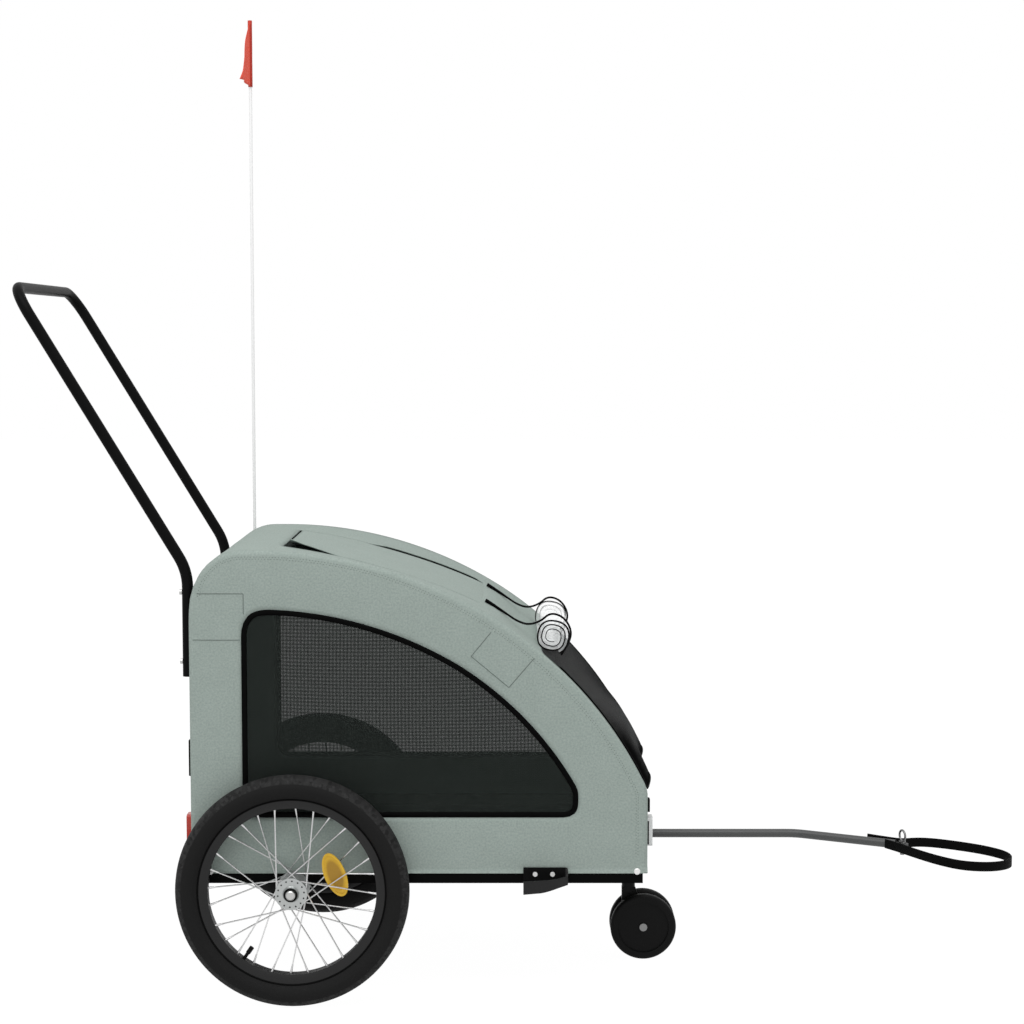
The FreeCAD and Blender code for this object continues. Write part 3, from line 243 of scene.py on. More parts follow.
CHIN_START = math.acos(CHIN_X / (NOSE_R - CHIN_R))
SIDE_Y, TURN_R, REAR_WALL, CLOTH_T = 0.267, 0.009, 0.463, 0.0016
SIDES = ((-1, "right"), (1, "left"))


def arc(centre, radius, first, last, count):
    turns = [first + (last - first) * i / count for i in range(count + 1)]
    return [centre + Vector((math.cos(t), math.sin(t))) * radius for t in turns]


def cabin_line(inset):
    """The cabin's outline from the rear foot over the roof to the front foot, drawn in by inset."""
    line = [Vector((CABIN_REAR + inset, CABIN_BOTTOM + REAR_WALL * i / 30)) for i in range(30)]
    line += arc(REAR_CORNER, REAR_CORNER_R - inset, math.pi, math.pi / 2, 16)
    line += arc(ROOF_CENTRE, ROOF_R - inset, math.pi / 2, ROOF_END, 40)
    line += arc(NOSE_CENTRE, NOSE_R - inset, ROOF_END, CHIN_START, 60)[1:]
    line += arc(CHIN, CHIN_R - inset, CHIN_START, 0.0, 8)[1:]
    front_top = line[-1].y
    line += [Vector((CABIN_FRONT - inset, front_top + (CABIN_BOTTOM - front_top) * i / 12)) for i in range(1, 13)]
    return line


def lengths(line):
    run = [0.0]
    for before, after in zip(line, line[1:]):
        run.append(run[-1] + (after - before).length)
    return run


def along(line, run, s):
    """The point at length s of a line."""
    s = min(max(s, 0.0), run[-1])
    low, high = 0, len(run) - 1
    while high - low > 1:
        middle = (low + high) // 2
        if run[middle] <= s:
            low = middle
        else:
            high = middle
    part = (s - run[low]) / max(run[high] - run[low], 1e-9)
    return line[low].lerp(line[high], part)


def spaced(line, count, first=0.0, last=None):
    """Even points on a line, from length first to length last."""
    run = lengths(line)
    last = run[-1] if last is None else last
    return [along(line, run, first + (last - first) * i / (count - 1)) for i in range(count)]


def bent(low, turn, high, shares):
    """Points of an eased corner."""
    return [low * (1 - t) ** 2 + turn * (2 * t * (1 - t)) + high * t ** 2 for t in shares]


def rounded_loop(sides, cuts, counts):
    """Join open sides into a loop with eased corners; each part runs from corner middle to corner middle."""
    trimmed = [spaced(side, 60, cuts[k - 1], lengths(side)[-1] - cuts[k]) for k, side in enumerate(sides)]
    parts = []
    for k, side in enumerate(sides):
        after = trimmed[(k + 1) % len(sides)]
        line = bent(trimmed[k - 1][-1], side[0], trimmed[k][0], (0.5, 0.625, 0.75, 0.875)) + trimmed[k]
        line += bent(trimmed[k][-1], side[-1], after[0], (0.125, 0.25, 0.375, 0.5))
        parts.append(spaced(line, counts[k] + 1)[:-1])
    return [point for part in parts for point in part]


def drawn_in(loop, depth):
    """The loop moved inwards by depth."""
    moved = []
    for i, point in enumerate(loop):
        ahead = (loop[(i + 1) % len(loop)] - loop[i - 1]).normalized()
        moved.append(point + Vector((ahead.y, -ahead.x)) * depth)
    return moved


def cloth_mesh(name, rows, material, closed=False, is_open=None):
    """A sheet from rows of pairs: the place in the trailer, and the place on the flat cloth."""
    mesh = bmesh.new()
    sheet_map = mesh.loops.layers.uv.new("cloth")
    spots = [[mesh.verts.new(place) for place, flat in row] for row in rows]
    for i in range(len(rows) - 1):
        count = len(rows[i])
        for j in range(count if closed else count - 1):
            if is_open and is_open(i, j):
                continue
            k = (j + 1) % count
            face = mesh.faces.new((spots[i][j], spots[i][k], spots[i + 1][k], spots[i + 1][j]))
            face.smooth = True
            for loop, (a, b) in zip(face.loops, ((i, j), (i, k), (i + 1, k), (i + 1, j))):
                loop[sheet_map].uv = rows[a][b][1]
    loose = [spot for spot in mesh.verts if not spot.link_faces]
    bmesh.ops.delete(mesh, geom=loose, context="VERTS")
    data = bpy.data.meshes.new(name)
    mesh.to_mesh(data)
    mesh.free()
    piece = add_object(name, data)
    piece.data.materials.append(material)
    return piece


def thicken(piece, thickness, offset=-1.0):
    wall = piece.modifiers.new("thickness", "SOLIDIFY")
    wall.thickness = thickness
    wall.offset = offset
    wall.use_even_offset = True


weave, weave_in = new_group("plain_weave", {"Vector": "Vector", "Threads": "Float"},
                            {"Height": "Float", "Hole": "Float"})
weave_axes = put(weave, "SeparateXYZ", {0: weave_in["Vector"]}).outputs
RIB_PITCH, RIB_DEPTH = 0.0036, 0.07


def waves(turns):
    """A wave along each of the weave's two directions."""
    return [reckon(weave, "SINE", reckon(weave, "MULTIPLY", weave_axes[axis], turns)) for axis in ("X", "Y")]


def half_up(wave):
    """A wave from minus one to one, brought between nothing and one."""
    return reckon(weave, "MULTIPLY_ADD", wave, 0.5, 0.5)


warp, weft = waves(weave_in["Threads"])
ribs = reckon(weave, "MULTIPLY_ADD", reckon(weave, "ADD", *waves(2 * math.pi / RIB_PITCH)), RIB_DEPTH, 1.0)
gap = reckon(weave, "MULTIPLY", half_up(warp), half_up(weft))
group_gives(weave, Height=half_up(reckon(weave, "MULTIPLY", warp, weft)), Hole=reckon(weave, "MULTIPLY", gap, ribs))


def blend_colours(tree, inputs, blend="MIX"):
    """What one colour Mix node gives."""
    return put(tree, "Mix", inputs, data_type="RGBA", blend_type=blend).outputs["Result"]


def cloth(name, dark, light, pitch, rough, relief_depth, net=None, shine=0.2):
    """Woven cloth that follows its flat map; net gives how much light its gaps let through."""
    material, tree = new_finish(name)
    flat = put(tree, "UVMap", {}, uv_map="cloth").outputs["UV"]
    threads = put(tree, "Group", {}, node_tree=weave)
    feed(tree, threads, {"Vector": flat, "Threads": 2 * math.pi / pitch})
    height = threads.outputs["Height"]
    drift = grained(tree, flat, 26.0, dark, light)["Color"]
    fleck = grained(tree, flat, 300.0, (0.65, 0.65, 0.65), (1.35, 1.35, 1.35))["Color"]
    tint = blend_colours(tree, {"Factor": 1.0, "A": drift, "B": fleck}, "MULTIPLY")
    lines = blend_colours(tree, {"Factor": height, "A": (0.93, 0.93, 0.93, 1.0), "B": (1.06, 1.06, 1.06, 1.0)})
    shade = blend_colours(tree, {"Factor": 1.0, "A": tint, "B": lines}, "MULTIPLY")
    relief = put(tree, "Bump", {"Height": height, "Distance": relief_depth, "Strength": 0.7})
    shader = feed(tree, tree.nodes["Principled BSDF"],
                  {"Base Color": shade, "Roughness": rough, "Specular IOR Level": shine,
                   "Normal": relief.outputs["Normal"]})
    if net is not None:
        body = put(tree, "MapRange", {"Value": threads.outputs["Hole"], "To Min": 1.0, "To Max": 1.0 - 4.0 * net})
        feed(tree, shader, {"Alpha": body.outputs["Result"]})
    return material


sage_cloth = cloth("sage_coated_weave", (0.298, 0.354, 0.325), (0.342, 0.402, 0.371), 0.0012, 0.78, 0.00025)
black_tape = cloth("black_binding_tape", (0.0012, 0.0012, 0.0012), (0.0028, 0.0028, 0.0028), 0.0016, 0.62, 0.0003,
                   shine=0.03)
black_net = cloth("black_net", (0.0172, 0.0212, 0.0190), (0.0222, 0.0272, 0.0246), 0.0009, 0.7, 0.0002,
                  net=0.180, shine=0.05)

outline = cabin_line(0.0)
outline_run = lengths(outline)
flat_line = cabin_line(TURN_R)
rear_break = REAR_WALL + REAR_CORNER_R * math.pi / 4
front_break = outline_run[-1] - 0.20
SIDE_COUNTS = (26, 84, 18, 56)


def side_loop(line):
    """The panel's outer loop, in four parts that match the window's."""
    run = lengths(line)
    share = run[-1] / outline_run[-1]
    parts = [spaced(line, SIDE_COUNTS[0] + 1, 0.0, rear_break * share),
             spaced(line, SIDE_COUNTS[1] + 1, rear_break * share, front_break * share),
             spaced(line, SIDE_COUNTS[2] + 1, front_break * share, run[-1]),
             spaced([line[-1], line[0]], SIDE_COUNTS[3] + 1)]
    return [point for part in parts for point in part[:-1]]


WINDOW_REAR, WINDOW_LOW, WINDOW_ROOF_DEPTH, WINDOW_NOSE_DEPTH, WINDOW_FRONT_H = -0.086, 0.3155, 0.0985, 0.104, 0.047
window_roof_r = ROOF_R - WINDOW_ROOF_DEPTH
window_nose_r = NOSE_R - WINDOW_NOSE_DEPTH
window_rear_turn = math.acos((WINDOW_REAR - ROOF_CENTRE.x) / window_roof_r)
window_front_turn = math.asin((WINDOW_LOW + WINDOW_FRONT_H - NOSE_CENTRE.y) / window_nose_r)
window_top = arc(ROOF_CENTRE, window_roof_r, window_rear_turn, ROOF_END, 30)
for step in range(1, 41):
    turn = ROOF_END + (window_front_turn - ROOF_END) * step / 40
    radius = NOSE_R - WINDOW_ROOF_DEPTH + (WINDOW_ROOF_DEPTH - WINDOW_NOSE_DEPTH) * step / 40
    window_top.append(NOSE_CENTRE + Vector((math.cos(turn), math.sin(turn))) * radius)
window_rear_low = Vector((WINDOW_REAR, WINDOW_LOW))
window_front_low = Vector((window_top[-1].x, WINDOW_LOW))
window_loop = rounded_loop([[window_rear_low, window_top[0]], window_top, [window_top[-1], window_front_low],
                            [window_front_low, window_rear_low]], [0.045, 0.010, 0.026, 0.028], SIDE_COUNTS)


def in_trailer(flat, y):
    return Vector((flat.x + AXLE_X, y, flat.y))


def ease(x):
    return x * x * (3.0 - 2.0 * x)


def rise(gone, span):
    """From nothing at the start to one when the span is gone, eased at both ends."""
    return ease(min(1.0, max(0.0, gone / span)))


def swell(z):
    """How far the cloth swells past the rear hoop at this height."""
    return 0.0068 * rise(0.738 - z, 0.085) * rise(z - 0.219, 0.03)


def mount(piece, body, slot, *nodes):
    """Let a piece ride on its body, in place of these CAD nodes. The slot is not used."""
    if nodes:
        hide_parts(*nodes)
    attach(piece, body)


FOOT_H, SWELL_REACH, TURN_STEPS, FACE_STEPS = 0.004, 0.034, 6, 12
SWELL_SHARES = (0.25, 0.62, 0.95, 1.0, 0.9, 0.72, 0.55)
rim_loop = side_loop(outline)
face_loop = side_loop(flat_line)
for side, name in SIDES:
    rows = []
    for step in range(TURN_STEPS + 1):
        turn = math.pi / 2 * (1 - step / TURN_STEPS)
        row = []
        for rim, face in zip(rim_loop, face_loop):
            turned = rim.y > CABIN_BOTTOM + FOOT_H
            spot = face.lerp(rim, math.sin(turn) if turned else 1.0)
            depth = TURN_R * (1 - math.cos(turn)) if turned else 0.0
            if rim.x < CABIN_REAR + SWELL_REACH:
                spot = spot - Vector((swell(rim.y) * SWELL_SHARES[step], 0.0))
            row.append((in_trailer(spot, side * (SIDE_Y - depth)), spot))
        rows.append(row)
    for step in range(1, FACE_STEPS + 1):
        bulge = math.sin(math.pi * step / FACE_STEPS)
        row = []
        for face, edge in zip(face_loop, window_loop):
            spot = face.lerp(edge, step / FACE_STEPS)
            if face.x < CABIN_REAR + TURN_R + SWELL_REACH:
                spot = spot - Vector((swell(face.y) * SWELL_SHARES[-1] * (1 - step / FACE_STEPS) ** 2, 0.0))
            ripple = 0.0011 * noise.noise(Vector((spot.x * 9.0, spot.y * 6.0, side * 3.0)))
            row.append((in_trailer(spot, side * (SIDE_Y + 0.0016 * bulge + ripple * bulge)), spot))
        rows.append(row)
    if side < 0:
        rows = [row[::-1] for row in rows]
    panel = cloth_mesh("side_cloth_" + name, rows, sage_cloth, closed=True)
    thicken(panel, CLOTH_T)
    mount(panel, "chassis", "cloth", "side_panel_" + name)

# Window bindings: black woven tape folded round the cut edge of each window and sewn flat, so it stands a
# little proud of the cloth on both faces.
TAPE_HALF_W, TAPE_HALF_T = 0.0047, 0.0026


def pick(*pieces):
    """Select these pieces alone, with the first of them active."""
    bpy.ops.object.select_all(action="DESELECT")
    for piece in pieces:
        piece.select_set(True)
    bpy.context.view_layer.objects.active = pieces[0]


def tape_ring(name, loop, place):
    """A closed ring of folded tape; place puts a flat point and a height in the trailer."""
    rows = []
    run = 0.0
    lengthways = []
    for i, point in enumerate(loop):
        lengthways.append(run)
        run += (loop[(i + 1) % len(loop)] - point).length
    for step in range(13):
        turn = 2 * math.pi * step / 12
        ring = drawn_in(loop, TAPE_HALF_W - TAPE_HALF_W * math.cos(turn))
        height = TAPE_HALF_T * math.sin(turn)
        rows.append([(place(point, height), Vector((length, step * 0.0014)))
                     for point, length in zip(ring, lengthways)])
    ring = cloth_mesh(name, rows, black_tape, closed=True)
    pick(ring)
    bpy.ops.object.mode_set(mode="EDIT")
    bpy.ops.mesh.select_all(action="SELECT")
    bpy.ops.mesh.remove_doubles(threshold=0.00001)
    bpy.ops.mesh.normals_make_consistent(inside=False)
    bpy.ops.object.mode_set(mode="OBJECT")
    mount(ring, "chassis", "piping", "window_pipings")
    return ring


NET_DEPTH = 0.00125
CLOTH_MID = SIDE_Y - NET_DEPTH
for side, name in SIDES:
    tape_ring("window_tape_" + name, window_loop,
              lambda flat, height: in_trailer(flat, side * (CLOTH_MID + height)))

# Window nets: black knitted net behind the tape, thin enough that the far side shows dimly through it. The tape's
# seam holds it all round, and it bellies in a little.
net_loop = drawn_in(window_loop, 0.005)
net_middle = Vector((0.19, 0.43))
for side, name in SIDES:
    rows = []
    for step in range(9):
        shrink = 1.0 - step / 8.2
        belly = 0.003 * (1.0 - shrink * shrink)
        rows.append([(in_trailer(net_middle.lerp(point, shrink), side * (CLOTH_MID - belly)),
                      net_middle.lerp(point, shrink)) for point in net_loop])
    if side < 0:
        rows = [row[::-1] for row in rows]
    net = cloth_mesh("window_net_" + name, rows, black_net, closed=True)
    mesh = bmesh.new()
    mesh.from_mesh(net.data)
    flat_map = mesh.loops.layers.uv["cloth"]
    centre = [edge for edge in mesh.edges if edge.is_boundary
              and (edge.verts[0].co - in_trailer(net_middle, edge.verts[0].co.y)).length < 0.03]
    for face in bmesh.ops.holes_fill(mesh, edges=centre, sides=0)["faces"]:
        for loop in face.loops:
            loop[flat_map].uv = (loop.vert.co.x - AXLE_X, loop.vert.co.z)
    mesh.to_mesh(net.data)
    mesh.free()
    mount(net, "chassis", "mesh", "window_mesh_" + name)

# Rear panel: the same sage weave, straight across the back between the side panels, with a wide window
# bound in tape and closed with net.
STRIP_Y = SIDE_Y - TURN_R
WINDOW_HALF_W, REAR_WINDOW_LOW, REAR_WINDOW_HIGH, REAR_WINDOW_R = 0.190, 0.290, 0.520, 0.028


def on_rear(flat, height):
    """A point of the rear wall: flat.x across, flat.y up, height out towards the back."""
    return Vector((CABIN_REAR + AXLE_X - height, flat.x, flat.y))


def box_loop(half, low, high, round_r, counts):
    corners = [Vector((-half, low)), Vector((-half, high)), Vector((half, high)), Vector((half, low))]
    sides = [[corners[k], corners[(k + 1) % 4]] for k in range(4)]
    if round_r == 0.0:
        return [point for side, count in zip(sides, counts) for point in spaced(side, count + 1)[:-1]]
    return rounded_loop(sides, [round_r] * 4, counts)


rear_counts = (24, 36, 24, 36)
rear_outer = box_loop(STRIP_Y, CABIN_BOTTOM, 0.684, 0.0, rear_counts)
rear_loop = box_loop(WINDOW_HALF_W, REAR_WINDOW_LOW, REAR_WINDOW_HIGH, REAR_WINDOW_R, rear_counts)
rows = []
for step in range(FACE_STEPS + 1):
    bulge = math.sin(math.pi * step / FACE_STEPS)
    row = []
    for outer, inner in zip(rear_outer, rear_loop):
        spot = outer.lerp(inner, step / FACE_STEPS)
        ripple = 0.0016 * noise.noise(Vector((spot.x * 8.0, spot.y * 6.0, 9.0)))
        row.append((on_rear(spot, (0.0018 + ripple) * bulge), spot))
    rows.append(row)
rear_cloth = cloth_mesh("rear_cloth", rows, sage_cloth, closed=True)
thicken(rear_cloth, CLOTH_T)
mount(rear_cloth, "chassis", "cloth", "rear_panel")
tape_ring("rear_window_tape", rear_loop, lambda flat, height: on_rear(flat, height - NET_DEPTH))
rear_net_loop = drawn_in(rear_loop, 0.005)
rear_middle = Vector((0.0, 0.405))
rows = []
for step in range(7):
    row = [rear_middle.lerp(point, 1.0 - step / 6.0001) for point in rear_net_loop]
    rows.append([(on_rear(spot, -NET_DEPTH), spot) for spot in row])
rear_net = cloth_mesh("rear_net", rows, black_net, closed=True)
mount(rear_net, "chassis", "mesh", "rear_mesh")

# Roof: one long strip of the weave from the top of the back over the hoops to the door's top seam, with
# the hatch cut in it and net sewn under the hatch.
def reach(x):
    """The length along the outline at which the roof or nose has this distance from the axle."""
    for i in range(30, len(outline) - 1):
        if outline[i].x <= x <= outline[i + 1].x:
            share = (x - outline[i].x) / max(outline[i + 1].x - outline[i].x, 1e-9)
            return outline_run[i] + share * (outline_run[i + 1] - outline_run[i])


def on_outline(s, lift):
    """A point of the outline at length s, lifted off it by lift."""
    here = along(outline, outline_run, s)
    ahead = along(outline, outline_run, s + 0.002) - along(outline, outline_run, s - 0.002)
    ahead.normalize()
    return here + Vector((-ahead.y, ahead.x)) * lift


def steps(marks, longest):
    """The marks in order, with even steps no longer than longest between them."""
    values = [marks[0]]
    for before, after in zip(marks, marks[1:]):
        count = max(1, math.ceil(abs(after - before) / longest))
        values += [before + (after - before) * i / count for i in range(1, count + 1)]
    return values


def strip_rows(lines, across, lift):
    """Rows of cloth that follow the outline, lifted off it by lift at each place."""
    return [[(in_trailer(on_outline(s, lift(s, y)), y), Vector((s, y))) for y in across] for s in lines]


HATCH_REAR, HATCH_FRONT, HATCH_HALF_W, DOOR_TOP_X = -0.026, 0.316, 0.155, 0.452
roof_s = steps([REAR_WALL, reach(HATCH_REAR), reach(HATCH_FRONT), reach(DOOR_TOP_X)], 0.014)
roof_y = steps([STRIP_Y, HATCH_HALF_W, -HATCH_HALF_W, -STRIP_Y], 0.016)
hatch_rear_s, hatch_front_s = reach(HATCH_REAR), reach(HATCH_FRONT)
bars_s = (reach(-0.055), reach(0.335))


def roof_sag(s, y):
    """How far the strip sinks between the two roof bars, and again in front of the second."""
    between = min(1.0, max(0.0, (s - bars_s[0]) / (bars_s[1] - bars_s[0])))
    beyond = rise(s - bars_s[1] - 0.006, 0.06)
    return (0.0115 * math.sin(math.pi * between) + 0.0068 * beyond) * (1.0 - min(1.0, abs(y) / STRIP_Y) ** 4)


def far_lip(s, y):
    """How far the hatch's far edge stands up where the flap has sunk below it."""
    if y < HATCH_HALF_W - 0.001:
        return 0.0
    share = rise(s - reach(0.105), 0.04) * rise(hatch_front_s - s, 0.02)
    return 0.0030 * share * math.exp(-((y - HATCH_HALF_W) / 0.024) ** 2)


def roof_ripple(s, y):
    """The strip's slight waviness, which dies out at its sewn edges."""
    return 0.0012 * noise.noise(Vector((s * 7.0, y * 7.0, 4.0))) * (1.0 - (y / STRIP_Y) ** 4)


def in_hatch(i, j):
    return (hatch_rear_s < (roof_s[i] + roof_s[i + 1]) / 2 < hatch_front_s
            and abs(roof_y[j] + roof_y[j + 1]) / 2 < HATCH_HALF_W)


rows = strip_rows(roof_s, roof_y, lambda s, y: roof_ripple(s, y) - roof_sag(s, y) + far_lip(s, y))
roof_cloth = cloth_mesh("roof_cloth", rows, sage_cloth, is_open=in_hatch)
thicken(roof_cloth, CLOTH_T)
mount(roof_cloth, "chassis", "cloth", "roof_panel")
NET_LAP = 0.008
rows = strip_rows(steps([hatch_rear_s - NET_LAP, hatch_front_s + NET_LAP], 0.02),
                  steps([HATCH_HALF_W + NET_LAP, -HATCH_HALF_W - NET_LAP], 0.02), lambda s, y: -0.003 - roof_sag(s, y))
roof_net = cloth_mesh("roof_net", rows, black_net)
mount(roof_net, "chassis", "mesh", "roof_mesh")

# Roof flap: a loose cover of the same weave over the hatch, sewn along its front edge and closed by a zip on
# the other three. It puffs up a little, and its rear corner on the right has come away from the zip.
flap_s = steps([hatch_rear_s + 0.0058, hatch_front_s, hatch_front_s + 0.010], 0.008)
flap_y = steps([HATCH_HALF_W - 0.003, -HATCH_HALF_W - 0.006], 0.008)
rows = []
for s in flap_s:
    a = (s - flap_s[0]) / (flap_s[-1] - flap_s[0])
    row = []
    for y in flap_y:
        b = (y - flap_y[0]) / (flap_y[-1] - flap_y[0])
        pulled = max(0.0, 1.0 - a / 0.25) * max(0.0, (b - 0.62) / 0.38) ** 2
        rear_lift = 0.0020 * max(0.0, 1.0 - a / 0.07) * min(1.0, b / 0.1)
        far_sink = 0.0012 * max(0.0, 1.0 - b / 0.08) * rise(a - 0.28, 0.1)
        crown = math.sin(math.pi * min(1.0, max(0.0, a))) * math.sin(math.pi * min(1.0, max(0.0, b)))
        ripple = 0.0022 * noise.noise(Vector((s * 11.0, y * 11.0, 7.0)))
        sewn = rise(a - 0.88, 0.09)
        rest = 0.0005 + roof_ripple(s, y) * sewn - 0.16 * max(0.0, s - hatch_front_s + 0.002)
        lift = rest + (0.0040 + ripple) * crown + 0.0120 * pulled + rear_lift - far_sink - roof_sag(s, y)
        place = in_trailer(on_outline(s + 0.006 * pulled, lift), y + 0.006 * pulled)
        row.append((place, Vector((s, y))))
    rows.append(row)
flap = cloth_mesh("roof_flap_cloth", rows, sage_cloth)
thicken(flap, 0.0014)
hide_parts("roof_flap")
in_trailer(on_outline(hatch_front_s, 0.0), 0.0)
in_trailer(on_outline(hatch_front_s - 0.022, 0.0), 0.0)
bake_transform(flap)

# Front panel: a low band of the weave across the cabin's foot, sewn to the side panels' turned edges. The door's
# hem laps over it.
FRONT_PANEL_TOP, DOOR_HEM = 0.380, 0.362


def drop(z):
    """The length along the outline at which the front has this height."""
    for i in range(len(outline) - 1, 0, -1):
        if outline[i].y <= z <= outline[i - 1].y:
            share = (outline[i - 1].y - z) / (outline[i - 1].y - outline[i].y)
            return outline_run[i - 1] + share * (outline_run[i] - outline_run[i - 1])


rows = strip_rows(steps([drop(FRONT_PANEL_TOP), outline_run[-1]], 0.012), steps([STRIP_Y, -STRIP_Y], 0.02),
                  lambda s, y: 0.0012 * noise.noise(Vector((s * 9.0, y * 7.0, 2.0))) * (1.0 - (y / STRIP_Y) ** 4))
front_cloth = cloth_mesh("front_cloth", rows, sage_cloth)
thicken(front_cloth, CLOTH_T)
mount(front_cloth, "chassis", "cloth", "front_panel")

# Front door: a close black net that hangs from its top seam over the nose. It is cut loose, so it bellies out
# between its bound edges and folds once above the hem. Painted shade makes it darker, more opaque and less glossy
# towards its edges low down and at its hem, where it turns away from the light.
door_net = cloth("black_door_net", (0.0175, 0.018, 0.018), (0.024, 0.0245, 0.0245), 0.0012, 0.72, 0.0003,
                 net=0.03, shine=0.06)
DOOR_HALF_W = 0.2515
door_s = steps([reach(DOOR_TOP_X) - 0.002, drop(DOOR_HEM)], 0.007)
door_y = steps([DOOR_HALF_W, -DOOR_HALF_W], 0.013)
painted_shade = []
rows = []
for s in door_s:
    a = (s - door_s[0]) / (door_s[-1] - door_s[0])
    row = []
    for y in door_y:
        across = max(0.0, 1.0 - (y / DOOR_HALF_W) ** 2)
        belly = 0.0120 * rise(a - 0.45, 0.30) * (1.0 - 0.40 * ease(max(0.0, (a - 0.80) / 0.20)))
        hem_wave = 0.0058 * math.exp(-((1.0 - a) / 0.15) ** 2) * math.cos((y + 0.17) * 2 * math.pi / 0.27)
        ripple = 0.0020 * noise.noise(Vector((s * 10.0, y * 6.0, 5.0)))
        slack = (0.0068 + 0.0030 * math.sin(math.pi * min(1.0, a / 0.5))) * (1.0 - rise(a - 0.30, 0.40))
        sunk = slack * (1.0 - (y / DOOR_HALF_W) ** 4)
        lift = 0.0014 - sunk + (belly + hem_wave + ripple * a) * across ** 0.45
        row.append((in_trailer(on_outline(s, lift), y), Vector((s, y))))
        # Painted shade: how much the door is darkened here, towards the edges low down and at the hem.
        edge_shade = rise(abs(y) - 0.03, 0.20) * rise(a - 0.15, 0.55)
        painted_shade.append(max(edge_shade, rise(a - 0.86, 0.12)))
    rows.append(row)
door = cloth_mesh("door_net", rows, door_net)
door.data.attributes.new("painted_shade", "FLOAT", "POINT").data.foreach_set("value", painted_shade)


def fed_by(shader, socket):
    """What feeds a shader's socket: another node, or the value set on it."""
    links = shader.inputs[socket].links
    return links[0].from_socket if links else shader.inputs[socket].default_value


# Painted shade: the door's colour, opacity and gloss are mixed towards a dark, opaque, dull finish by the attribute
# made above.
door_tree = door_net.node_tree
door_shader = door_tree.nodes["Principled BSDF"]
door_shade_mask = put(door_tree, "Attribute", {}, attribute_name="painted_shade").outputs["Fac"]
for socket, kind, shaded in (("Base Color", "RGBA", (0.0045, 0.0045, 0.0045, 1.0)), ("Alpha", "FLOAT", 1.0),
                           ("Specular IOR Level", "FLOAT", 0.0)):
    shading = put(door_tree, "Mix", {"Factor": door_shade_mask, "A": fed_by(door_shader, socket), "B": shaded}, data_type=kind)
    feed(door_tree, door_shader, {socket: shading.outputs["Result"]})
door_seam = [in_trailer(on_outline(door_s[0] + down, 0.0), 0.0) for down in (0.002, 0.022)]
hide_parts("front_door")
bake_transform(door)
trim_black = skin("black_trim", (0.0015, 0.0015, 0.0015), (0.004, 0.004, 0.004), 700.0, (0.5, 0.7), shine=0.06)


def new_line(name, points, kind, **settings):
    """A curve that passes through points, or is drawn towards them where it is a smooth one."""
    data = bpy.data.curves.new(name, "CURVE")
    data.dimensions = "3D"
    for setting, value in settings.items():
        setattr(data, setting, value)
    spline = data.splines.new(kind)
    spline.points.add(len(points) - 1)
    for knot, point in zip(spline.points, points):
        knot.co = (*point, 1.0)
    if kind == "NURBS":
        spline.order_u = 3
        spline.use_endpoint_u = True
    return data


def trim_line(name, points, radius, body, material=trim_black, thin_to=1.0):
    """A thin bound edge or cord along points of a piece, which may thin out. With no body, it is not attached."""
    data = new_line(name, points, "POLY", bevel_depth=radius, bevel_resolution=2, use_fill_caps=True)
    for i, knot in enumerate(data.splines[0].points):
        knot.radius = 1.0 + (thin_to - 1.0) * i / (len(points) - 1)
    piece = add_object(name, data)
    pick(piece)
    bpy.ops.object.convert(target="MESH")
    piece = bpy.context.view_layer.objects.active
    for face in piece.data.polygons:
        face.use_smooth = True
    piece.data.materials.append(material)
    if body is not None:
        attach(piece, body)
    return piece


door_edge = [row[0][0] for row in rows] + [place for place, flat in rows[-1][1:-1]] + [row[-1][0] for row in rows[::-1]]
door_binding = trim_line("door_binding", door_edge, 0.0014, None)
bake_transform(door_binding)

# Door head: a band of the same net above the door's seam. It is sewn flat to the roof strip, and the rain cover
# lies on it.
DOOR_HEAD_X = 0.424
rows = strip_rows(steps([reach(DOOR_HEAD_X), reach(DOOR_TOP_X) + 0.003], 0.006),
                  steps([STRIP_Y + 0.001, -STRIP_Y - 0.001], 0.013), lambda s, y: 0.0009 - roof_sag(s, y))
door_head = cloth_mesh("door_head", rows, door_net)
mount(door_head, "chassis", "mesh")

# Rain cover: a sheet of clear soft film, rolled up from its hem and kept on the nose above the door. Its
# edges are bound in black, which shows as a spiral at each end of the roll. The film glows faintly: painted light
# that lifts the shaded turns inside the roll.
film, film_tree = new_finish("clear_film")
film_flat = put(film_tree, "UVMap", {}, uv_map="cloth").outputs["UV"]
film_drift = grained(film_tree, film_flat, 55.0, (0.74, 0.75, 0.75), (0.95, 0.95, 0.95))
film_body = put(film_tree, "MapRange", {"Value": film_drift["Mask"], "From Min": 0.35, "From Max": 0.65,
                                        "To Min": 0.42, "To Max": 0.68})
film_gloss = put(film_tree, "MapRange", {"Value": film_drift["Mask"], "To Min": 0.08, "To Max": 0.26})
# The faint emission is painted light, not a lamp.
feed(film_tree, film_tree.nodes["Principled BSDF"],
     {"Base Color": film_drift["Color"], "Alpha": film_body.outputs["Result"], "IOR": 1.5,
      "Roughness": film_gloss.outputs["Result"], "Emission Color": (0.9, 0.92, 0.92, 1.0),
      "Emission Strength": 0.16})
ROLL_AT = Vector((0.4400, 0.6065))
ROLL_R, ROLL_PITCH, ROLL_TURNS, ROLL_HALF_L = 0.0310, 0.0072, 3.0, 0.137


def roll_point(turns, y):
    angle = math.radians(-68.0) + 2 * math.pi * turns
    radius = ROLL_R - ROLL_PITCH * turns
    radius *= 1.0 + 0.030 * math.cos(4 * (angle - 0.55)) + 0.02 * noise.noise(Vector((turns * 2.0, y * 9.0, 1.0)))
    flat = ROLL_AT + Vector((math.cos(angle), math.sin(angle))) * radius
    return in_trailer(flat, y)


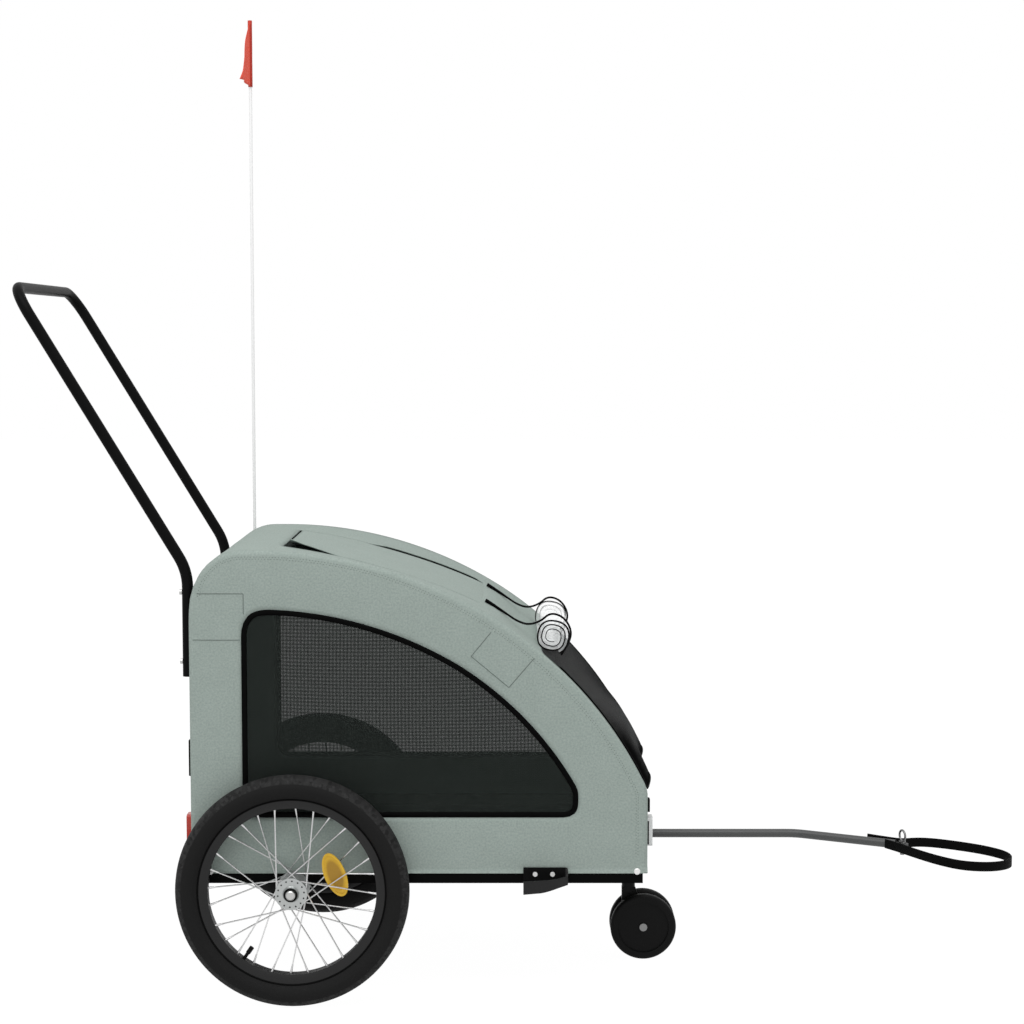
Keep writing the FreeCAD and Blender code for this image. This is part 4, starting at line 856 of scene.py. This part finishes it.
roll_turns = [ROLL_TURNS * i / 150 for i in range(151)]
roll_run = 0.0
rows = []
for i, turns in enumerate(roll_turns):
    if i:
        roll_run += (roll_point(turns, 0.0) - roll_point(roll_turns[i - 1], 0.0)).length
    slip = 0.0035 * math.sin(5.0 * turns)
    ends = (ROLL_HALF_L + slip * 0.4, -ROLL_HALF_L + slip)
    rows.append([(roll_point(turns, ends[0] + (ends[1] - ends[0]) * j / 9),
                  Vector((roll_run, ends[0] + (ends[1] - ends[0]) * j / 9))) for j in range(10)])
rain_roll = cloth_mesh("rain_roll", rows, film)
mount(rain_roll, "chassis", "film", "rain_cover_roll")
roll_bindings = [trim_line("roll_binding_" + name, [row[end][0] for row in rows], 0.0017, "chassis",
                           thin_to=0.35) for name, end in (("left", 0), ("right", -1))]

# Roll ties: two thin black elastic cords, each sewn to the roof by a flat tab, which sag a little, pass over
# the roll and end in front of it at the door's seam.
TIE_Y, TIE_R = 0.120, 0.0019
tab_s = (reach(0.322), reach(0.360))
tie_route = [(0.353, 0.6491), (0.362, 0.6430), (0.378, 0.6318), (0.398, 0.6245), (0.420, 0.6310), (0.437, 0.6465),
             (0.4610, 0.6385), (0.4745, 0.6145), (0.4700, 0.5940), (0.4625, 0.5815), (0.4560, 0.5715)]
for side, name in SIDES:
    route = [(x + AXLE_X, side * TIE_Y, z) for x, z in tie_route]
    tie = add_object("roll_tie_" + name, new_line("roll_tie_" + name, route, "NURBS", bevel_depth=TIE_R,
                                                  bevel_resolution=3, resolution_u=8, use_fill_caps=True))
    tie.data.materials.append(trim_black)
    tab_rows = []
    for s in steps([tab_s[0], tab_s[1]], 0.004):
        share = (s - tab_s[0]) / (tab_s[1] - tab_s[0])
        tall = 0.0032 - 0.0012 * share
        tab_rows.append([(in_trailer(on_outline(s, tall * 0.92 + tall * math.sin(turn)),
                                     side * TIE_Y + 0.0036 * math.cos(turn)), Vector((s, turn * 0.003)))
                         for turn in [-2 * math.pi * step / 14 for step in range(14)]])
    tab = cloth_mesh("tie_tab_" + name, tab_rows, black_tape, closed=True)
    tab_mesh = bmesh.new()
    tab_mesh.from_mesh(tab.data)
    bmesh.ops.holes_fill(tab_mesh, edges=[edge for edge in tab_mesh.edges if edge.is_boundary], sides=0)
    bmesh.ops.recalc_face_normals(tab_mesh, faces=tab_mesh.faces)
    tab_mesh.to_mesh(tab.data)
    tab_mesh.free()
    mount(tab, "chassis", "elastic")
    mount(tie, "chassis", "elastic", "roll_ties")

# Seams and stitches: two rows of sage thread hold the side panels' turned edges, and a doubled patch is sewn in
# behind each window and another in front of it. A short webbing tab closes the door's hem at each side.
thread = skin("sage_thread", (0.105, 0.125, 0.115), (0.165, 0.195, 0.180), 900.0, (0.7, 0.9), shine=0.1)


STITCH_L, STITCH_PITCH, STITCH_HALF_W, STITCH_FROM = 0.0032, 0.0052, 0.00055, 0.47


def on_panel(name, flat):
    """The nearest point of a side panel's outer face, and the way that it faces."""
    panel = bpy.data.objects["side_cloth_" + name]
    side = -1 if name == "right" else 1
    return panel.closest_point_on_mesh(in_trailer(flat, side * (SIDE_Y + 0.003)))[1:3]


def made(name, material, body, slot):
    """Settle a newly formed piece in its place, and give it its name, finish and body. The slot is not used."""
    bpy.ops.object.transform_apply(location=True, rotation=True, scale=True)
    piece = bpy.context.active_object
    piece.name = name
    piece.data.materials.append(material)
    mount(piece, body, slot)
    return piece


def block(name, size, spot, edge, segments, slot):
    """A small block of black trim with eased edges."""
    bpy.ops.object.select_all(action="DESELECT")
    bpy.ops.mesh.primitive_cube_add(size=1.0, location=spot)
    bpy.context.active_object.scale = size
    piece = made(name, trim_black, "chassis", slot)
    soft_edge = piece.modifiers.new("soft_edge", "BEVEL")
    soft_edge.width = edge
    soft_edge.segments = segments


for side, name in SIDES:
    stitch_mesh = bmesh.new()
    for depth, offset in ((0.0100, 0.0), (0.0135, 0.0025)):
        line = cabin_line(depth)
        run = lengths(line)
        here = STITCH_FROM + offset
        while here < run[-1] - 0.03:
            inward = 0.0065 * rise(here - 0.75, 0.45)
            ahead = (along(line, run, here + 0.002) - along(line, run, here - 0.002)).normalized()
            inward = Vector((ahead.y, -ahead.x)) * inward
            ends = [on_panel(name, along(line, run, here + onward) + inward)[0] for onward in (0.0, STITCH_L)]
            facing = on_panel(name, along(line, run, here + STITCH_L / 2) + inward)[1]
            middle = (ends[0] + ends[1]) / 2
            across = (ends[1] - ends[0]).cross(facing).normalized() * STITCH_HALF_W
            ring = [stitch_mesh.verts.new(middle + across), stitch_mesh.verts.new(middle + facing * 0.0006),
                    stitch_mesh.verts.new(middle - across), stitch_mesh.verts.new(middle - facing * 0.0003)]
            tips = [stitch_mesh.verts.new(end - facing * 0.0002) for end in ends]
            for i in range(4):
                stitch_mesh.faces.new((ring[i], ring[(i + 1) % 4], tips[1]))
                stitch_mesh.faces.new((ring[(i + 1) % 4], ring[i], tips[0]))
            here += STITCH_PITCH
    bmesh.ops.recalc_face_normals(stitch_mesh, faces=stitch_mesh.faces)
    stitch_data = bpy.data.meshes.new("edge_stitches_" + name)
    stitch_mesh.to_mesh(stitch_data)
    stitch_mesh.free()
    stitching = add_object("edge_stitches_" + name, stitch_data)
    stitching.data.materials.append(thread)
    mount(stitching, "chassis", "cloth")
    for number, corners in enumerate((((-0.160, 0.697), (-0.0815, 0.697), (-0.0815, 0.662)),
                                      ((-0.167, 0.6186), (-0.0875, 0.6186)),
                                      ((0.3346, 0.632), (0.301, 0.591), (0.3645, 0.538), (0.4075, 0.588)))):
        seam_line = []
        for first, last in zip(corners, corners[1:]):
            for step in range(9):
                place, facing = on_panel(name, Vector(first).lerp(Vector(last), step / 9))
                seam_line.append(place + facing * 0.0001)
        place, facing = on_panel(name, Vector(corners[-1]))
        seam_line.append(place + facing * 0.0001)
        trim_line("patch_seam_%d_%s" % (number, name), seam_line, STITCH_HALF_W, "chassis", material=thread)
    for tab_name, size, spot in (("hem_tab_", (0.005, 0.014, 0.023), (0.6020, 0.2430, 0.3325)),
                                 ("rear_tab_", (0.004, 0.012, 0.062), (-0.1768, 0.2460, 0.4145))):
        spot = (spot[0] + AXLE_X, side * spot[1], spot[2])
        block(tab_name + name, size, spot, 0.0014, 3, "webbing")
        bpy.ops.object.shade_smooth_by_angle(angle=math.radians(40.0))

# Reflectors: moulded prism plastic, clear at the front corners and red at the back. A thin black block lies
# behind each front one.
clear_prism = skin("clear_prism", (0.50, 0.51, 0.51), (0.86, 0.87, 0.87), 520.0, (0.06, 0.2), 0.0, 0.0008)
red_prism = skin("red_prism", (0.42, 0.018, 0.010), (0.66, 0.055, 0.030), 520.0, (0.08, 0.22), 0.0, 0.0008)
dress(clear_prism, "front_reflectors")
for side, name in SIDES:
    block("reflector_black_block_" + name, (0.0036, 0.0316, 0.0410), (0.2878, side * 0.235, 0.2855), 0.0012, 2,
          "black_plastic")
dress(red_prism, "rear_reflectors")

# Push handle: one round tube bent into a U and flattened at its feet, where two bolts a side hold it to the
# hoops. Its black powder coat is a little greyer than the chassis.
handle_coat = skin("handle_powder_coat", (0.0036, 0.0036, 0.0037), (0.0062, 0.0062, 0.0063), 420.0, (0.34, 0.46),
                   shine=0.035)
dress(handle_coat, "push_handle")

# Wheel guards: a black steel plate on each side rail, held by two screws. Its front end is folded back into a bowed
# strip, which stands out before the wheel and hangs a little lower than the plate. The strip gets a lighter, glossier
# copy of the coat: painted light on its bow.
guard_coat = skin("guard_coat", (0.0022, 0.0022, 0.0023), (0.0045, 0.0045, 0.0046), 380.0, (0.38, 0.52), shine=0.06)
# Painted light: a lighter, glossier copy of the guard's coat, for the strip.
strip_painted_light_coat = skin("guard_strip_painted_light", (0.0155, 0.0155, 0.0158), (0.0250, 0.0250, 0.0254), 380.0, (0.40, 0.56),
                  shine=0.12)
for name in ("left", "right"):
    node = "wheel_guard_" + name
    low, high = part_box(node)
    plate_face = min(abs(low[1]), abs(high[1])) + 0.003
    guard = add_object("guard_" + name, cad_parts[node].data.copy())
    guard.data.materials.clear()
    guard.data.materials.append(guard_coat)
    guard.data.materials.append(strip_painted_light_coat)
    for vertex in guard.data.vertices:
        hang = 0.013
        if vertex.co.z < (low[2] + high[2]) / 2:
            hang = 0.0055 + 0.0075 * ease(min(1.0, (high[0] - vertex.co.x) / 0.060))
        vertex.co.z -= hang * rise(abs(vertex.co.y) - plate_face, 0.010)
    # The strip's faces take the painted light finish.
    for face in guard.data.polygons:
        face.material_index = int(abs(face.center.y) > plate_face + 0.0015)
    crisp(guard)
    mount(guard, "chassis", "black_tube", node)

# Wheels: black rubber tyres on satin black alloy rims, laced to bright hubs with twenty eight plain spokes.
# A clear amber reflector is clipped between two spokes, and a black valve comes through the rim.
rubber = skin("tyre_rubber", (0.0075, 0.0075, 0.0075), (0.0125, 0.0125, 0.0125), 260.0, (0.62, 0.82), 0.0,
              0.0002, 0.13)
WHEEL_R, WHEEL_Y = 0.1975, 0.2965
HUB_AT = (AXLE_X, 0.0, WHEEL_R)


def vector_of(tree, operation, *values):
    """What one Vector Math node gives for these values."""
    given = put(tree, "VectorMath", dict(enumerate(values)), operation=operation).outputs
    return given["Value" if operation == "LENGTH" else "Vector"]


tread, tread_in = new_group("tread_blocks", {"Vector": "Vector"}, {"Height": "Float"})
tread_from = vector_of(tread, "SUBTRACT", tread_in["Vector"], HUB_AT)
tread_radius = vector_of(tread, "LENGTH", vector_of(tread, "MULTIPLY", tread_from, (1.0, 0.0, 1.0)))
tread_band = put(tread, "MapRange", {"Value": tread_radius, "From Min": 0.1845, "From Max": 0.1862})
tread_parts = put(tread, "SeparateXYZ", {0: tread_from}).outputs
tread_turn = reckon(tread, "ARCTAN2", tread_parts["Z"], tread_parts["X"])
tread_place = put(tread, "CombineXYZ", {"X": reckon(tread, "MULTIPLY", tread_turn, 0.19), "Y": tread_radius})
tread_block = put(tread, "TexVoronoi", {"Vector": tread_place.outputs["Vector"], "Scale": 210.0, "Randomness": 0.8})
group_gives(tread, Height=reckon(tread, "MULTIPLY", tread_block.outputs["Color"], tread_band.outputs["Result"]))
rubber_tree = rubber.node_tree
rubber_shader = rubber_tree.nodes["Principled BSDF"]
rubber_place = put(rubber_tree, "TexCoord", {}).outputs["Object"]
rubber_tread = put(rubber_tree, "Group", {"Vector": rubber_place}, node_tree=tread).outputs["Height"]
# Painted highlight: the tread blocks in the tyre's outer band are lighter, where their tops catch the light.
tread_painted_highlight = blend_colours(rubber_tree, {"Factor": rubber_tread, "A": fed_by(rubber_shader, "Base Color"),
                                          "B": (0.034, 0.034, 0.034, 1.0)})
rubber_cut = put(rubber_tree, "Bump", {"Height": rubber_tread, "Distance": 0.0012,
                                       "Normal": fed_by(rubber_shader, "Normal")})
feed(rubber_tree, rubber_shader, {"Base Color": tread_painted_highlight, "Normal": rubber_cut.outputs["Normal"]})
rim_coat = skin("rim_coat", (0.0050, 0.0050, 0.0052), (0.0090, 0.0090, 0.0092), 500.0, (0.26, 0.40), shine=0.30)
spoke_steel = skin("spoke_steel", (0.55, 0.55, 0.55), (0.77, 0.77, 0.77), 800.0, (0.22, 0.36), 1.0, 0.00002)
hub_alloy = skin("hub_alloy", (0.35, 0.365, 0.36), (0.56, 0.575, 0.57), 600.0, (0.30, 0.46), 1.0, 0.00006)
amber_prism = skin("amber_prism", (0.58, 0.345, 0.020), (0.76, 0.470, 0.036), 420.0, (0.1, 0.28), 0.0, 0.0006, 0.3)
amber_tree = amber_prism.node_tree
amber_shader = amber_tree.nodes["Principled BSDF"]
amber_from = vector_of(amber_tree, "SUBTRACT", put(amber_tree, "TexCoord", {}).outputs["Object"], HUB_AT)
amber_turn = put(amber_tree, "VectorRotate", {"Vector": amber_from, "Angle": math.radians(21.6)},
                 rotation_type="Y_AXIS")
amber_mid = vector_of(amber_tree, "SUBTRACT", amber_turn.outputs["Vector"], (0.078, 0.0, 0.0))
amber_away = vector_of(amber_tree, "LENGTH",
                       vector_of(amber_tree, "MULTIPLY", amber_mid, (1 / 0.0118, 0.0, 1 / 0.0265)))
amber_edge = put(amber_tree, "MapRange", {"Value": amber_away, "From Min": 0.86, "From Max": 1.14})
amber_deep = blend_colours(amber_tree, {"Factor": amber_edge.outputs["Result"], "A": (0.37, 0.205, 0.018, 1.0),
                                        "B": fed_by(amber_shader, "Base Color")})
feed(amber_tree, amber_shader, {"Base Color": amber_deep})
black_moulding = skin("black_moulding", (0.0035, 0.0035, 0.0035), (0.0065, 0.0065, 0.0065), 340.0, (0.42, 0.6),
                       0.0, 0.00025, 0.1)
for name in ("left", "right"):
    dress(rubber, "tyre_" + name)
    dress(rim_coat, "rim_" + name)
    dress(spoke_steel, "spokes_" + name)
    gauge = bpy.data.objects["spokes_" + name].modifiers.new("gauge", "DISPLACE")
    gauge.strength = 0.00025
    gauge.mid_level = 0.0
    dress(hub_alloy, "hub_" + name)
    dress(amber_prism, "spoke_reflector_" + name)
    dress(black_moulding, "valve_" + name)
    dress(zinc, "axle_" + name)

# Small wheel parts: a plated nipple on each spoke's end at the rim, a black rubber seal round the axle's cap
# on the hub, the tyre's bead where it meets the rim, and a row of thin black discs near the edge of the hub's flange:
# painted shade that stands for the dark insides of its holes.
SPOKES, SPOKE_START, SPOKE_LEAN, LANE = 28, -1.9, 77.0, 0.00115
FOOT_R, FOOT_ROW, HEAD_R, HEAD_ROW = 0.024, 0.022, 0.1475, 0.004
HOLES, HOLE_START, HOLE_ROW_R = 14, 8.0, 0.0222
ON_EDGE = (math.radians(90.0), 0.0, 0.0)


def joined(parts):
    pick(*parts)
    bpy.ops.object.join()


for side, name in SIDES:
    wheel = "wheel_" + name
    parts = []
    for k in range(SPOKES):
        lean = -1 if (k // 2) % 2 else 1
        row = side if k % 2 == 0 else -side
        lane = side * LANE * lean
        rim_turn = math.radians(SPOKE_START + 360.0 * k / SPOKES)
        hub_turn = rim_turn + math.radians(SPOKE_LEAN * lean)
        foot = Vector((FOOT_R * math.cos(hub_turn), row * FOOT_ROW + lane, FOOT_R * math.sin(hub_turn)))
        head = Vector((HEAD_R * math.cos(rim_turn), row * HEAD_ROW + lane, HEAD_R * math.sin(rim_turn)))
        aim = (head - foot).normalized()
        bpy.ops.object.select_all(action="DESELECT")
        bpy.ops.mesh.primitive_cone_add(vertices=10, radius1=0.0014, radius2=0.0021, depth=0.015,
                                        location=Vector((AXLE_X, side * WHEEL_Y, WHEEL_R)) + head - aim * 0.0125,
                                        rotation=aim.to_track_quat("Z", "Y").to_euler())
        parts.append(bpy.context.active_object)
    joined(parts)
    made("spoke_nipples_" + name, spoke_steel, wheel, "spoke")
    bpy.ops.object.shade_smooth_by_angle(angle=math.radians(40.0))
    for ring, radius, thick, count, thick_count, out, finish, slot in (
            ("hub_seal_", 0.0101, 0.0019, 40, 10, 0.0302, black_moulding, "black_plastic"),
            ("bead_line_outer_", 0.1577, 0.0013, 96, 8, 0.0141, trim_black, "tyre"),
            ("bead_line_inner_", 0.1577, 0.0013, 96, 8, -0.0141, trim_black, "tyre")):
        bpy.ops.object.select_all(action="DESELECT")
        bpy.ops.mesh.primitive_torus_add(major_radius=radius, minor_radius=thick, major_segments=count,
                                         minor_segments=thick_count, rotation=ON_EDGE,
                                         location=(AXLE_X, side * (WHEEL_Y + out), WHEEL_R))
        made(ring + name, finish, wheel, slot)
        bpy.ops.object.shade_smooth()
    # Painted shade: black discs on the flange in place of its holes.
    parts = []
    for k in range(HOLES):
        turn = math.radians(HOLE_START + 360.0 * k / HOLES)
        bpy.ops.object.select_all(action="DESELECT")
        bpy.ops.mesh.primitive_cylinder_add(vertices=14, radius=0.0014, depth=0.0006, rotation=ON_EDGE,
                                            location=(AXLE_X + HOLE_ROW_R * math.cos(turn), side * (WHEEL_Y + 0.0245),
                                                      WHEEL_R + HOLE_ROW_R * math.sin(turn)))
        parts.append(bpy.context.active_object)
    joined(parts)
    made("flange_hole_shade_" + name, black_moulding, wheel, "black_plastic")

# Caster: a black fork under the front tube with a disc each side, turning on a plated bolt. Fork and discs are
# moulded plastic, dull from the mould.
dress(black_moulding, "caster_fork", "caster_discs")
dull_zinc = skin("dull_zinc", (0.15, 0.15, 0.15), (0.30, 0.30, 0.30), 700.0, (0.34, 0.5), 1.0, 0.00005)
dress(dull_zinc, "caster_bolt")

# Tow bar: a bent grey tube that slides in its receiver under the floor, clamped by a hand knob. A ring pin
# drops through its flat end.
tow_coat = skin("grey_powder_coat", (0.050, 0.052, 0.052), (0.070, 0.072, 0.072), 420.0, (0.36, 0.5))
dress(tow_coat, "tow_bar")
dress(dull_zinc, "hitch_pin")
dress(black_moulding, "clamp_knob")

# Safety strap: black webbing looped from the bar's end round the bicycle's frame and back to the pin. It is woven
# flat, and stiff enough to hold its loop.
PIN_AT = Vector((0.777781, 0.057115, 0.191))
strap_offsets = [(-0.058, 0.0415), (-0.028, 0.026), (0.002, 0.0135), (0.032, 0.030), (0.064, 0.031), (0.112, 0.014),
                 (0.155, -0.010), (0.186, -0.048), (0.182, -0.100), (0.140, -0.138), (0.084, -0.142), (0.044, -0.108),
                 (0.012, -0.062), (-0.014, -0.018), (-0.031, 0.0046)]
STRAP_DIP, STRAP_W, STRAP_T = math.radians(3.0), 0.0172, 0.0022
strap_line = new_line("strap_line", [(PIN_AT.x + dx * math.cos(STRAP_DIP), PIN_AT.y + dy,
                                     PIN_AT.z - dx * math.sin(STRAP_DIP)) for dx, dy in strap_offsets], "NURBS",
                      resolution_u=10)
strap_guide = bpy.data.objects.new("strap_line", strap_line)
guide_mesh = bpy.data.meshes.new_from_object(strap_guide)
strap_path = [spot.co.copy() for spot in guide_mesh.vertices]
bpy.data.objects.remove(strap_guide)
rows = []
strap_run = 0.0
for i, spot in enumerate(strap_path):
    ahead = (strap_path[min(i + 1, len(strap_path) - 1)] - strap_path[max(i - 1, 0)]).normalized()
    out = ahead.cross(Vector((0.0, 0.0, 1.0))).normalized()
    up = out.cross(ahead).normalized()
    if i:
        strap_run += (spot - strap_path[i - 1]).length
    row = []
    for across, outward in ((0.5, 0.3), (0.5, -0.3), (0.46, -0.5), (-0.46, -0.5), (-0.5, -0.3), (-0.5, 0.3),
                            (-0.46, 0.5), (0.46, 0.5)):
        row.append((spot + up * (across * STRAP_W) + out * (outward * STRAP_T), Vector((strap_run, across * STRAP_W))))
    rows.append(row)
webbing = cloth("black_webbing", (0.0018, 0.0018, 0.0018), (0.0034, 0.0034, 0.0034), 0.0022, 0.6, 0.0004, shine=0.04)
strap = cloth_mesh("safety_webbing", rows, webbing, closed=True)
pick(strap)
bpy.ops.object.mode_set(mode="EDIT")
bpy.ops.mesh.select_all(action="SELECT")
bpy.ops.mesh.fill_holes(sides=0)
bpy.ops.mesh.normals_make_consistent(inside=False)
bpy.ops.object.mode_set(mode="OBJECT")
mount(strap, "tow_bar", "webbing", "safety_strap")

# Flag pole and sleeve: a thin white fibre rod that stands in a narrow sleeve of the weave, sewn to the rear
# left corner of the cabin.
POLE_X, POLE_Y, SLEEVE_LOW, SLEEVE_HIGH, SLEEVE_R = -0.126, 0.2725, 0.420, 0.530, 0.0055
rod_white = skin("white_rod", (0.84, 0.84, 0.84), (0.94, 0.94, 0.94), 300.0, (0.2, 0.32))
dress(rod_white, "flag_pole")
rows = []
for z in steps([SLEEVE_LOW, SLEEVE_HIGH], 0.006):
    row = []
    for step in range(20):
        turn = 2 * math.pi * step / 20
        pinch = 0.0004 * noise.noise(Vector((math.cos(turn) * 2.0, math.sin(turn) * 2.0, z * 60.0)))
        spot = Vector((POLE_X + AXLE_X, POLE_Y, z))
        spot += Vector((math.cos(turn), math.sin(turn), 0.0)) * (SLEEVE_R + pinch)
        row.append((spot, Vector((turn * SLEEVE_R, z))))
    rows.append(row)
sleeve = cloth_mesh("pole_sleeve_cloth", rows, sage_cloth, closed=True)
thicken(sleeve, 0.0012)
mount(sleeve, "chassis", "cloth", "pole_sleeve")

# Flag: a red pennant cut from light cloth, with a hem that slips over the top of the pole. It hangs a little
# slack towards its point.
FLAG_TOP, FLAG_H, FLAG_L, HEM_R = 1.723, 0.124, 0.165, 0.0045
red_cloth = cloth("red_pennant_cloth", (0.76, 0.078, 0.042), (0.89, 0.106, 0.061), 0.0009, 0.7, 0.0001)
hem_cloth = cloth("red_hem_cloth", (0.42, 0.042, 0.028), (0.54, 0.062, 0.042), 0.0009, 0.7, 0.0002)
rows = []
for i in range(25):
    z = FLAG_TOP - FLAG_H + (FLAG_H - 0.002) * i / 24
    width = FLAG_L * (FLAG_TOP - z) / FLAG_H
    row = []
    for j in range(25):
        out = width * j / 24
        slack = out / FLAG_L
        wave = 0.0045 * slack * math.sin(out * 46.0 + z * 9.0)
        wave += 0.002 * slack * noise.noise(Vector((out * 25.0, z * 20.0, 1.0)))
        row.append((Vector((POLE_X + AXLE_X + wave, POLE_Y - HEM_R * 0.6 - out * 0.972, z - 0.004 * slack * slack)),
                    Vector((out, z))))
    rows.append(row)
pennant = cloth_mesh("pennant_cloth", rows, red_cloth)
thicken(pennant, 0.0005, 0.0)
rows = []
for i in range(13):
    z = FLAG_TOP - FLAG_H + FLAG_H * i / 12
    row = []
    for step in range(18):
        turn = 2 * math.pi * step / 18
        pinch = 1.0 + 0.05 * noise.noise(Vector((math.cos(turn), math.sin(turn), z * 50.0)))
        row.append((Vector((POLE_X + AXLE_X + math.cos(turn) * HEM_R * 0.92 * pinch,
                            POLE_Y + math.sin(turn) * HEM_R * pinch, z)), Vector((turn * HEM_R, z))))
    rows.append(row)
flag_hem = cloth_mesh("pennant_hem", rows, hem_cloth, closed=True)
thicken(flag_hem, 0.0005)
for piece in (pennant, flag_hem):
    mount(piece, "flag", "pennant", "flag")
